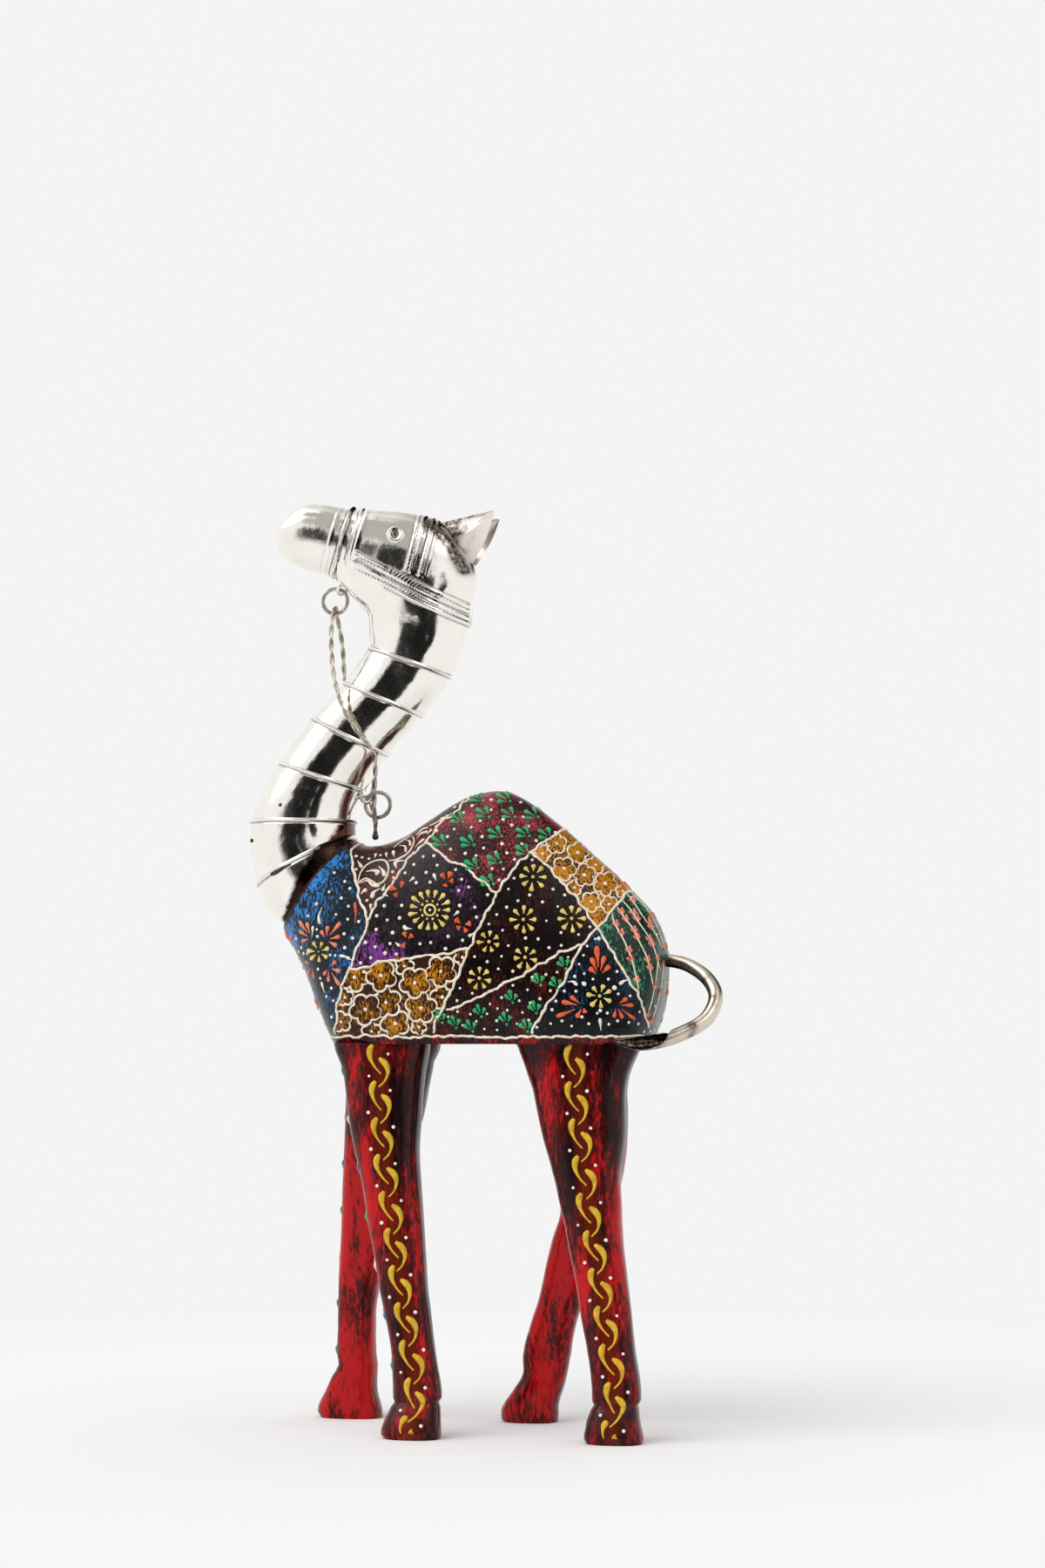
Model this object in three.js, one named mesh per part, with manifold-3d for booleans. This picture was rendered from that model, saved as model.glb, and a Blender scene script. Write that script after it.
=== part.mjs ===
// A standing camel, 305 mm tall: a carved and painted wooden body on four glued-on legs, and a carved
// neck and head dressed in thin white-metal sheet, with sheet ears and tail, two wire rings and a
// twisted-wire rein. Millimetres, +Z up, the camel looks along -X, and its left side is the -Y side.
import * as THREE from "three";
import { mergeVertices } from "three/addons/utils/BufferGeometryUtils.js";
import Module from "manifold-3d";

const wasm = await Module();
wasm.setup();

// General sizes
const GAP = 0.3; // air left between two pieces that touch
const SHEET = 0.4; // thickness of the white-metal sheet
const BELLY_Z = 124.8; // the flat underside that the legs are glued to
const FOOT_Y = 27; // sideways place of a hoof, from the middle of the camel
const HIP_Y = 11.5; // sideways place of the top of a leg
const BODY_SIDES = 32;
const NECK_SIDES = 22;
const LEG_SIDES = 18;

// Beads that stiffen the edge of each sheet
const BEAD_HEIGHT = 0.5;
const BEAD_WIDTH = 1.2;

// Dowels that hold the carved pieces together
const LEG_DOWEL = { radius: 3.5, length: 24 };
const NECK_DOWEL = { radius: 5, length: 34 };

// Wire parts
const RING = { radius: 4.2, wire: 0.65 };
const EYELET = { radius: 1.65, wire: 0.45, shank: 8 };
const REIN_RADIUS = 0.85;
const CHIN_EYELET = new THREE.Vector3(-49.2, 0, 275.8);
const CHIN_RING = new THREE.Vector3(-51.5, 0, 272.1);
const NECK_EYELET = new THREE.Vector3(-40.5, 0, 205.6);
const NECK_RING = new THREE.Vector3(-36.6, 0, 203.8);
const EYELET_TURN = Math.PI / 6; // how far an eyelet is turned from square to its ring

// Cuts across the body from the rump to the foot of the neck. Each has the lower point and the upper
// point of the outline as x, z, x, z, then half the width, how pear-shaped it is and how square.
const TORSO = [
  [60.1, 148.1, 60.3, 155.0, 5.0, 0.05, 2.1],
  [59.2, 139.4, 58.4, 161.3, 12.0, 0.08, 2.1],
  [57.3, 131.6, 55.1, 167.7, 16.8, 0.12, 2.15],
  [54.0, 123.7, 50.1, 173.2, 20.0, 0.16, 2.2],
  [48.8, 117.3, 44.1, 179.4, 22.3, 0.19, 2.2],
  [41.2, 112.8, 36.9, 185.8, 23.8, 0.22, 2.25],
  [31.6, 110.8, 28.2, 193.5, 24.5, 0.24, 2.3],
  [20.0, 110.1, 18.5, 201.4, 24.8, 0.26, 2.3],
  [8.2, 110.0, 8.2, 207.2, 24.8, 0.27, 2.3],
  [-4.6, 110.3, -1.2, 207.1, 24.8, 0.27, 2.3],
  [-17.6, 111.2, -10.9, 203.2, 24.6, 0.26, 2.3],
  [-29.8, 113.0, -19.2, 197.7, 24.3, 0.24, 2.3],
  [-40.0, 116.0, -26.8, 193.1, 23.9, 0.2, 2.25],
  [-47.7, 121.5, -32.9, 190.8, 23.0, 0.16, 2.2],
  [-54.0, 133.6, -37.8, 190.1, 21.6, 0.12, 2.2],
  [-59.9, 147.9, -41.4, 190.6, 19.6, 0.06, 2.15],
  [-67.5, 161.9, -44.4, 192.2, 17.2, 0.0, 2.15],
];

// Cuts across the neck and head, from the foot of the neck to the tip of the muzzle.
const NECK = [
  [-67.5, 161.9, -44.4, 192.2, 17.2, 0, 2.15],
  [-73.6, 168.8, -44.5, 192.9, 16.9, 0, 2.15],
  [-77.5, 177.3, -44.8, 193.9, 16.5, 0, 2.15],
  [-80.2, 188.1, -44.9, 196.3, 16.0, 0, 2.15],
  [-79.8, 199.2, -44.5, 198.7, 15.6, 0, 2.15],
  [-75.8, 209.3, -43.6, 203.4, 15.1, 0, 2.15],
  [-69.6, 219.0, -41.1, 209.2, 14.6, 0, 2.15],
  [-64.0, 226.7, -37.2, 215.1, 14.1, 0, 2.15],
  [-58.3, 233.9, -32.4, 220.8, 13.7, 0, 2.15],
  [-52.8, 239.9, -26.6, 226.9, 13.4, 0, 2.15],
  [-47.5, 245.2, -20.6, 233.6, 13.1, 0, 2.15],
  [-43.1, 250.5, -15.3, 239.8, 12.9, 0, 2.15],
  [-39.3, 256.8, -11.4, 246.5, 12.8, 0, 2.15],
  [-38.2, 260.9, -7.7, 254.1, 12.9, 0, 2.15],
  [-38.4, 262.5, -5.8, 261.9, 13.0, 0, 2.15],
  [-39.0, 263.8, -4.7, 269.2, 13.1, 0, 2.15],
  [-39.8, 265.4, -3.3, 277.8, 13.0, 0, 2.2],
  [-40.7, 267.5, -5.5, 287.6, 12.6, 0, 2.2],
  [-41.8, 270.1, -12.5, 296.1, 12.2, 0, 2.25],
  [-43.4, 273.4, -22.8, 300.3, 11.8, 0, 2.3],
  [-45.9, 276.6, -33.5, 302.2, 11.2, 0, 2.3],
  [-48.6, 278.1, -42.2, 302.6, 10.7, 0, 2.35],
  [-53.3, 280.0, -47.4, 303.1, 10.4, 0, 2.4],
  [-59.0, 281.6, -55.1, 305.0, 10.0, 0, 2.4],
  [-65.4, 283.7, -62.2, 304.8, 9.3, 0, 2.4],
  [-69.5, 287.4, -68.3, 300.8, 7.6, 0, 2.3],
  [-71.7, 291.3, -71.4, 297.1, 4.5, 0, 2.2],
];

// The sheets by the stations of NECK that they run between, from the head down.
const MUZZLE_START = 21.5;
const NECK_SHEET_ENDS = [12, 10, 8, 6, 4, 2, 0];

// Each leg from its glued top down to its sole: height, place along the camel, length and width.
const LEGS = {
  front_left_leg: [
    [124.5, -31.9, 31.6, 19.0],
    [116, -30.8, 27.0, 18.2],
    [102, -30.1, 23.7, 16.8],
    [91, -29.0, 21.1, 15.8],
    [78.6, -27.0, 19.0, 14.6],
    [67.8, -25.3, 18.0, 14.0],
    [57.8, -23.6, 16.5, 13.4],
    [45.5, -21.8, 15.3, 12.5],
    [38, -20.2, 14.4, 12.0],
    [31, -18.8, 13.8, 11.8],
    [24.2, -17.6, 14.0, 12.0],
    [17.4, -16.6, 15.0, 12.6],
    [12.6, -16.3, 15.2, 12.8],
    [11.3, -16.5, 14.0, 11.8],
    [9.8, -16.8, 15.6, 13.2],
    [4.5, -17.8, 18.4, 15.2],
    [1.2, -17.9, 19.0, 15.4],
    [0, -17.5, 17.4, 14.0],
  ],
  front_right_leg: [
    [124.5, -34.0, 32.0, 19.0],
    [119, -35.4, 29.5, 18.2],
    [100, -37.8, 25.8, 16.6],
    [86, -41.0, 22.0, 15.2],
    [66, -44.2, 17.8, 14.0],
    [41, -48.4, 13.0, 12.4],
    [29.3, -49.3, 12.4, 12.0],
    [21.4, -49.7, 12.8, 12.0],
    [17.6, -49.3, 12.8, 12.2],
    [13.7, -50.6, 14.8, 13.6],
    [8.7, -51.8, 17.3, 14.6],
    [5.2, -52.3, 20.2, 15.6],
    [1.9, -52.4, 21.6, 15.4],
    [0, -51.9, 20.4, 14.2],
  ],
  rear_left_leg: [
    [124.5, 33.8, 42.0, 19.5],
    [123.8, 33.7, 40.0, 19.2],
    [116.8, 33.6, 34.4, 18.6],
    [110.4, 34.0, 30.3, 17.8],
    [97.6, 35.6, 27.2, 16.8],
    [83.6, 37.0, 21.9, 15.2],
    [74.8, 38.3, 19.9, 14.6],
    [66.3, 39.7, 18.0, 14.0],
    [51, 42.4, 16.6, 13.2],
    [40.3, 44.2, 16.1, 12.8],
    [27.9, 46.2, 15.3, 12.6],
    [18.8, 47.8, 15.3, 12.8],
    [13.2, 48.2, 15.2, 13.0],
    [11.8, 48.1, 13.8, 12.2],
    [10.3, 47.8, 15.0, 13.4],
    [7.2, 47.4, 16.5, 14.6],
    [1.6, 47.5, 18.7, 15.6],
    [0, 47.7, 17.4, 14.2],
  ],
  rear_right_leg: [
    [124.5, 28.6, 40.0, 19.5],
    [119, 28.8, 35.5, 18.8],
    [109.8, 29.2, 31.0, 18.0],
    [101.8, 30.4, 28.6, 17.4],
    [86, 31.8, 23.0, 15.8],
    [70, 30.6, 18.0, 14.4],
    [61, 27.2, 17.0, 13.6],
    [51, 23.8, 15.6, 13.0],
    [40, 20.6, 14.6, 12.6],
    [30, 17.3, 15.2, 12.6],
    [23.2, 15.8, 15.8, 12.8],
    [20.3, 15.3, 15.4, 12.6],
    [16, 14.8, 14.6, 12.2],
    [11.6, 12.9, 15.9, 13.8],
    [5.7, 9.8, 18.2, 15.2],
    [3.3, 9.4, 18.8, 15.6],
    [1.0, 9.2, 18.8, 15.2],
    [0, 9.6, 17.6, 14.2],
  ],
};
const LEG_SQUARENESS = 2.7;

// The tail's middle line from inside the rump to its tip, with the half width of the rolled sheet and
// how far the sheet is rolled round, in degrees each way from its middle.
const TAIL = [
  [54.9, 0, 152.2, 2.0, 168],
  [60.1, -0.2, 151.9, 2.1, 168],
  [67.5, -3.0, 150.3, 2.2, 166],
  [74.7, -8.5, 145.9, 2.3, 164],
  [78.3, -13.5, 139.8, 2.35, 162],
  [75.9, -18.5, 132.7, 2.4, 160],
  [68.2, -22.5, 127.9, 2.4, 150],
  [60.8, -25.2, 125.6, 2.4, 112],
  [54.5, -26.8, 125.1, 2.2, 88],
  [48.0, -27.8, 125.8, 0.5, 80],
];
const TAIL_CENTRE = new THREE.Vector3(64, -10, 139);
const TAIL_HOLE = { radius: 2.9, depth: 7 };

// The rein's middle line: up the left side of the neck, over the chin ring and down the right side.
const REIN_LEFT = [
  [-37.3, -1.25, 197.4],
  [-37.2, -2.1, 199.6],
  [-37.0, -3.2, 204.2],
  [-36.2, -6.2, 209.4],
  [-34.9, -10.0, 214.3],
  [-34.3, -13.4, 218.6],
  [-35.3, -15.6, 221.6],
  [-37.9, -17.0, 225.0],
  [-41.0, -17.4, 229.5],
  [-43.9, -17.0, 234.2],
  [-46.6, -14.8, 240.6],
  [-48.8, -11.8, 246.8],
  [-50.6, -8.0, 255.0],
  [-51.6, -4.2, 263.6],
];
const REIN_RIGHT = [
  [-51.2, 3.6, 264.0],
  [-50.8, 6.5, 258.4],
  [-51.2, 10.0, 251.8],
  [-51.6, 13.4, 245.2],
  [-50.8, 16.2, 238.4],
  [-49.0, 17.6, 231.6],
  [-46.4, 17.6, 225.4],
  [-43.2, 15.8, 219.6],
  [-41.0, 12.0, 214.2],
  [-40.2, 7.4, 209.2],
  [-39.8, 3.9, 204.6],
  [-38.4, 2.2, 200.4],
  [-37.5, 1.25, 197.4],
];
const REIN_BEND = 2.1; // radius of the bend where the wire goes over the ring
const REIN_STEPS = 80;

// An ear on the right side: the top, the fold and the bottom of its foot, then its tip. The tip of
// the right ear is bent a little lower than that of the left one.
const EAR_FOOT = [
  [-17.7, 2.1, 296.5],
  [-11.3, 4.3, 289.6],
  [-5.9, 2.4, 280.5],
];
const EAR_TIP = [3.8, 4.5, 300.3];
const EAR_FOLD = 2.0; // how far the fold stands out half way along
const RIGHT_EAR_DROP = 1.5;

// The eyes, as a station of NECK and an angle round it
const EYE_STATION = 18.9;
const EYE_ANGLE = 1.94;

const COLOURS = {
  paint: { color: 0x2e1d24, roughness: 0.5, metalness: 0 },
  red: { color: 0xa51216, roughness: 0.45, metalness: 0 },
  wood: { color: 0xb98d5a, roughness: 0.8, metalness: 0 },
  metal: { color: 0xd9d5cc, roughness: 0.22, metalness: 1 },
  wire: { color: 0x9d978b, roughness: 0.35, metalness: 1 },
};

// Small helpers

function smoothed(stations, s) {
  const i = Math.max(0, Math.min(Math.floor(s), stations.length - 2));
  const t = s - i;
  const pick = (k) => stations[Math.max(0, Math.min(stations.length - 1, k))];
  const [a, b, c, d] = [pick(i - 1), pick(i), pick(i + 1), pick(i + 2)];
  return b.map(
    (_, k) =>
      0.5 *
      (2 * b[k] +
        (c[k] - a[k]) * t +
        (2 * a[k] - 5 * b[k] + 4 * c[k] - d[k]) * t * t +
        (3 * b[k] - a[k] - 3 * c[k] + d[k]) * t * t * t),
  );
}

function rounded(x, squareness) {
  return Math.sign(x) * Math.abs(x) ** (2 / squareness);
}

// A point on a carved form. The angle runs from the lower point, round the left side, to the upper one.
function skinPoint(stations, s, angle) {
  const [x0, z0, x1, z1, half, pear, squareness] = smoothed(stations, s);
  const u = -rounded(Math.cos(angle), squareness);
  const side = rounded(Math.sin(angle), squareness);
  return new THREE.Vector3(
    (x0 + x1) / 2 + (u * (x1 - x0)) / 2,
    -half * side * (1 - pear * u),
    (z0 + z1) / 2 + (u * (z1 - z0)) / 2,
  );
}

// The point, with the direction out of the form and the direction towards the next station.
function skinAt(stations, s, angle) {
  const last = stations.length - 1;
  const step = 0.02;
  const point = skinPoint(stations, s, angle);
  const along = skinPoint(stations, Math.min(last, s + step), angle)
    .sub(skinPoint(stations, Math.max(0, s - step), angle))
    .normalize();
  const round = skinPoint(stations, s, angle + step).sub(
    skinPoint(stations, s, angle - step),
  );
  const out = along.clone().cross(round).normalize();
  const [x0, z0, x1, z1] = smoothed(stations, s);
  const middle = new THREE.Vector3((x0 + x1) / 2, 0, (z0 + z1) / 2);
  if (out.dot(point.clone().sub(middle)) < 0) out.negate();
  return { point, out, along };
}

// One ring of points round a form, raised above it and moved along it by so many millimetres.
function skinRing(stations, sides, s, raised = 0, moved = () => 0) {
  return Array.from({ length: sides }, (_, i) => {
    const angle = (2 * Math.PI * i) / sides;
    const { point, out, along } = skinAt(stations, s, angle);
    return point.addScaledVector(out, raised).addScaledVector(along, moved(angle));
  });
}

// A closed surface through rings of points that have the same count, closed by a flat cap at each end.
// With folded, each four-sided face folds along its shorter diagonal, so a sheet's two sides agree.
function loft(rings, { closed = false, folded = false } = {}) {
  const sides = rings[0].length;
  const points = rings.flat();
  const index = [];
  const quad = (a, b, c, d) => {
    const turned = folded && points[b].distanceTo(points[d]) < points[a].distanceTo(points[c]);
    index.push(...(turned ? [b, c, d, b, d, a] : [a, b, c, a, c, d]));
  };
  const bands = closed ? rings.length : rings.length - 1;
  for (let r = 0; r < bands; r++) {
    const next = (r + 1) % rings.length;
    for (let i = 0; i < sides; i++) {
      const j = (i + 1) % sides;
      quad(r * sides + i, next * sides + i, next * sides + j, r * sides + j);
    }
  }
  if (!closed) {
    [0, rings.length - 1].forEach((r, end) => {
      const middle = rings[r]
        .reduce((sum, p) => sum.add(p), new THREE.Vector3())
        .divideScalar(sides);
      points.push(middle);
      for (let i = 0; i < sides; i++) {
        const a = r * sides + i;
        const b = r * sides + ((i + 1) % sides);
        if (end) index.push(points.length - 1, b, a);
        else index.push(points.length - 1, a, b);
      }
    });
  }
  const geometry = new THREE.BufferGeometry().setFromPoints(points);
  geometry.setIndex(index);
  return geometry;
}

// A manifold-3d solid of a closed geometry, turned right side out.
function solid(geometry) {
  const bare = geometry.clone();
  bare.deleteAttribute("normal");
  bare.deleteAttribute("uv");
  const merged = mergeVertices(bare, 1e-4);
  const vertProperties = new Float32Array(merged.attributes.position.array);
  const triVerts = new Uint32Array(merged.index.array);
  const made = new wasm.Manifold(new wasm.Mesh({ numProp: 3, vertProperties, triVerts }));
  if (made.volume() > 0) return made;
  for (let i = 0; i < triVerts.length; i += 3)
    [triVerts[i + 1], triVerts[i + 2]] = [triVerts[i + 2], triVerts[i + 1]];
  return new wasm.Manifold(new wasm.Mesh({ numProp: 3, vertProperties, triVerts }));
}

function geometryOf(made) {
  const { vertProperties, triVerts } = made.getMesh();
  const geometry = new THREE.BufferGeometry();
  geometry.setAttribute("position", new THREE.BufferAttribute(vertProperties, 3));
  geometry.setIndex(new THREE.BufferAttribute(triVerts, 1));
  geometry.computeVertexNormals();
  return geometry;
}

// A round bar between two points.
function bar(from, to, radius, sides = 16) {
  const axis = to.clone().sub(from);
  const geometry = new THREE.CylinderGeometry(radius, radius, axis.length(), sides);
  const turn = new THREE.Quaternion().setFromUnitVectors(
    new THREE.Vector3(0, 1, 0),
    axis.clone().normalize(),
  );
  geometry.applyQuaternion(turn);
  geometry.translate(...from.clone().add(to).divideScalar(2).toArray());
  return geometry;
}

function piece(name, made, colour) {
  const geometry = made.isBufferGeometry ? geometryOf(solid(made)) : geometryOf(made);
  const mesh = new THREE.Mesh(geometry, new THREE.MeshStandardMaterial(COLOURS[colour]));
  mesh.name = name;
  return mesh;
}

// The foot of the neck, where the neck is dowelled to the body

const neckLow = new THREE.Vector3(NECK[0][0], 0, NECK[0][1]);
const neckHigh = new THREE.Vector3(NECK[0][2], 0, NECK[0][3]);
const neckFoot = neckLow.clone().add(neckHigh).divideScalar(2);
const neckChord = neckHigh.clone().sub(neckLow).normalize();
const neckUp = new THREE.Vector3(-neckChord.z, 0, neckChord.x);

function dowelSpan(middle, axis, length) {
  return [
    middle.clone().addScaledVector(axis, -length / 2),
    middle.clone().addScaledVector(axis, length / 2),
  ];
}

// The dowels and the holes that are drilled for them

const legDowels = Object.entries(LEGS).map(([name, rows]) => {
  const side = name.includes("left") ? -1 : 1;
  const middle = new THREE.Vector3(rows[0][1], side * (HIP_Y + 0.5), BELLY_Z);
  const up = new THREE.Vector3(0, 0, 1);
  return {
    name: name.replace("leg", "leg_dowel"),
    pin: bar(...dowelSpan(middle, up, LEG_DOWEL.length), LEG_DOWEL.radius),
    hole: solid(
      bar(...dowelSpan(middle, up, LEG_DOWEL.length + 2 * GAP), LEG_DOWEL.radius + GAP),
    ),
  };
});
const neckDowel = bar(...dowelSpan(neckFoot, neckUp, NECK_DOWEL.length), NECK_DOWEL.radius);
const neckDowelHole = solid(
  bar(...dowelSpan(neckFoot, neckUp, NECK_DOWEL.length + 2 * GAP), NECK_DOWEL.radius + GAP),
);

// The carved body: one block from the rump to the foot of the neck, sawn flat under the belly

function carvedBody() {
  const rings = [];
  for (let s = 0; s <= TORSO.length - 1; s += 0.5) {
    rings.push(skinRing(TORSO, BODY_SIDES, s));
  }
  rings.at(-1).forEach((p) => p.addScaledVector(neckUp, -GAP / 2));
  const sawn = new THREE.BoxGeometry(200, 100, 60);
  sawn.translate(0, 0, BELLY_Z - 30);
  const tailHole = bar(
    new THREE.Vector3(TAIL[1][0] - TAIL_HOLE.depth, 0, TAIL[0][2]),
    new THREE.Vector3(TAIL[1][0] + 6, 0, TAIL[0][2]),
    TAIL_HOLE.radius,
  );
  let block = solid(loft(rings)).subtract(solid(sawn));
  for (const { hole } of legDowels) block = block.subtract(hole);
  return block.subtract(neckDowelHole).subtract(solid(tailHole));
}

// A leg: a tapering bar of rounded square section that leans outwards, with a notched ankle and a hoof

function carvedLeg(name, rows) {
  const side = name.includes("left") ? -1 : 1;
  const rings = rows.map(([z, x, length, width]) => {
    const y = side * (FOOT_Y - ((FOOT_Y - HIP_Y) * z) / BELLY_Z);
    return Array.from({ length: LEG_SIDES }, (_, i) => {
      const angle = (2 * Math.PI * (i + 0.5)) / LEG_SIDES;
      return new THREE.Vector3(
        x + (length / 2) * rounded(Math.cos(angle), LEG_SQUARENESS),
        y + (width / 2) * rounded(Math.sin(angle), LEG_SQUARENESS),
        z,
      );
    });
  });
  return legDowels.reduce((leg, { hole }) => leg.subtract(hole), solid(loft(rings)));
}

// The fastenings on the neck and head: each goes through the sheet into the wood

function eyelet(centre, outward, wireWay) {
  const across = new THREE.Vector3(0, 1, 0);
  const axis = wireWay
    .clone()
    .multiplyScalar(Math.cos(EYELET_TURN))
    .addScaledVector(across, Math.sin(EYELET_TURN));
  const ring = new THREE.TorusGeometry(EYELET.radius, EYELET.wire, 8, 20);
  ring.applyQuaternion(
    new THREE.Quaternion().setFromUnitVectors(new THREE.Vector3(0, 0, 1), axis),
  );
  ring.translate(...centre.toArray());
  const inward = outward.clone().negate();
  inward.addScaledVector(axis, -inward.dot(axis)).normalize();
  const start = centre.clone().addScaledVector(inward, EYELET.radius);
  const end = start.clone().addScaledVector(inward, EYELET.shank);
  return {
    body: solid(ring).add(solid(bar(start, end, EYELET.wire, 8))),
    hole: solid(bar(start, end.clone().addScaledVector(inward, GAP), EYELET.wire + GAP, 8)),
  };
}

function squareTo(vector) {
  return new THREE.Vector3(vector.z, 0, -vector.x);
}

const chinWay = CHIN_RING.clone().sub(CHIN_EYELET).normalize();
const chinEyelet = eyelet(CHIN_EYELET, new THREE.Vector3(0, 0, -1), squareTo(chinWay));
const neckWay = NECK_RING.clone().sub(NECK_EYELET).normalize();
const neckEyelet = eyelet(NECK_EYELET, new THREE.Vector3(0.95, 0, -0.3), squareTo(neckWay));

// An eye: a dished stud with a domed middle on a short nail
function eyeStud(angle) {
  const { point, out } = skinAt(NECK, EYE_STATION, angle);
  const profile = [
    [0, -6],
    [0.55, -6],
    [0.55, 0.3],
    [2.7, 0.3],
    [2.9, 0.6],
    [2.4, 1.1],
    [1.5, 0.8],
    [1.15, 0.8],
    [0.95, 1.25],
    [0.55, 1.5],
    [0, 1.55],
  ].map(([r, h]) => new THREE.Vector2(r, h));
  const stud = new THREE.LatheGeometry(profile, 20);
  const nail = new THREE.CylinderGeometry(0.55 + GAP, 0.55 + GAP, 8, 8);
  nail.translate(0, -3, 0);
  const turn = new THREE.Quaternion().setFromUnitVectors(new THREE.Vector3(0, 1, 0), out);
  for (const shape of [stud, nail]) {
    shape.applyQuaternion(turn);
    shape.translate(...point.toArray());
  }
  return { body: solid(stud), hole: solid(nail) };
}

const leftEye = eyeStud(EYE_ANGLE);
const rightEye = eyeStud(-EYE_ANGLE);
const fastenings = [chinEyelet, neckEyelet, leftEye, rightEye];

// The carved neck and head inside the sheets

function carvedNeck() {
  const rings = [];
  for (let s = 0; s < NECK.length; s++) rings.push(skinRing(NECK, NECK_SIDES, s, -SHEET - GAP));
  rings[0] = skinRing(NECK, NECK_SIDES, 0, -SHEET - GAP).map((p) => {
    p.addScaledVector(neckUp, -p.clone().sub(neckFoot).dot(neckUp) + GAP / 2);
    return p;
  });
  rings.at(-1).forEach((p) => {
    p.x += SHEET + GAP;
  });
  const carved = solid(loft(rings)).subtract(neckDowelHole);
  return fastenings.reduce((core, { hole }) => core.subtract(hole), carved);
}

// A sheet wrapped round the neck between two stations, with a bead beaten along its upper edge. At a
// narrow place the bead is narrower, so that it stays on its own sheet.
function wrappedSheet(from, to) {
  const inset = GAP / 2;
  const room = (angle) =>
    skinPoint(NECK, from, angle).distanceTo(skinPoint(NECK, to, angle)) - GAP;
  const along = (share) => (angle) =>
    inset + share * Math.min(BEAD_WIDTH, 0.6 * room(angle));
  const between = [];
  for (let s = from + 1; s < to; s++) between.push(s);
  const outside = [
    skinRing(NECK, NECK_SIDES, from, 0, () => inset),
    ...between.map((s) => skinRing(NECK, NECK_SIDES, s)),
    skinRing(NECK, NECK_SIDES, to, 0, (a) => -along(1)(a)),
    skinRing(NECK, NECK_SIDES, to, BEAD_HEIGHT, (a) => -along(0.7)(a)),
    skinRing(NECK, NECK_SIDES, to, BEAD_HEIGHT, (a) => -along(0.25)(a)),
    skinRing(NECK, NECK_SIDES, to, 0, () => -inset),
  ];
  const inside = [
    skinRing(NECK, NECK_SIDES, to, -SHEET, () => -inset),
    ...between.reverse().map((s) => skinRing(NECK, NECK_SIDES, s, -SHEET)),
    skinRing(NECK, NECK_SIDES, from, -SHEET, () => inset),
  ];
  return solid(loft([...outside, ...inside], { closed: true }));
}

// The muzzle cap: a sheet beaten over the end of the head, with the first nose band at its edge
function muzzleCap() {
  const last = NECK.length - 1;
  const inset = GAP / 2;
  const steps = [];
  for (let s = MUZZLE_START + 0.5; s <= last; s += 0.5) steps.push(s);
  const shell = (raised, first) => [...first, ...steps.map((s) => skinRing(NECK, NECK_SIDES, s, raised))];
  const outside = shell(0, [
    skinRing(NECK, NECK_SIDES, MUZZLE_START, 0, () => inset),
    skinRing(NECK, NECK_SIDES, MUZZLE_START, BEAD_HEIGHT, () => inset + 0.3 * BEAD_WIDTH),
    skinRing(NECK, NECK_SIDES, MUZZLE_START, BEAD_HEIGHT, () => inset + 0.7 * BEAD_WIDTH),
    skinRing(NECK, NECK_SIDES, MUZZLE_START, 0, () => inset + BEAD_WIDTH),
  ]);
  const inside = shell(-SHEET, [
    skinRing(NECK, NECK_SIDES, MUZZLE_START, -SHEET, () => inset - 1),
    skinRing(NECK, NECK_SIDES, MUZZLE_START, -SHEET, () => inset),
  ]);
  inside.at(-1).forEach((p) => {
    p.x += SHEET;
  });
  return solid(loft(outside)).subtract(solid(loft(inside)));
}

const ends = NECK_SHEET_ENDS;
const metalSheets = [
  ["muzzle_sheet", muzzleCap()],
  ["face_sheet", wrappedSheet(ends[0], MUZZLE_START)],
  ...ends.slice(1).map((from, i) => [`neck_sheet_${i + 1}`, wrappedSheet(from, ends[i])]),
].map(([name, sheet]) => [
  name,
  fastenings.reduce((left, { hole }) => left.subtract(hole), sheet),
]);

// An ear: a leaf of sheet folded along its middle, its foot cut to the back of the head
function ear(side, tipDrop) {
  const shares = [0, 0.15, 0.3, 0.45, 0.6, 0.75, 0.88, 0.985];
  const point = ([x, y, z]) => new THREE.Vector3(x, side * y, z);
  const tip = point(EAR_TIP);
  tip.z -= tipDrop;
  const rings = shares.map((share) => {
    const [top, fold, low] = EAR_FOOT.map((p) => point(p).lerp(tip, share));
    fold.y += side * EAR_FOLD * Math.sin(Math.PI * share);
    const inward = new THREE.Vector3(0.1, -side * SHEET, 0);
    const inner = [low, fold, top].map((p) => p.clone().add(inward));
    return [top, fold, low, ...inner];
  });
  const head = [];
  for (let s = 14; s <= 21; s += 0.5) head.push(skinRing(NECK, NECK_SIDES, s, GAP));
  return solid(loft(rings, { folded: true })).subtract(solid(loft(head)));
}

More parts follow.
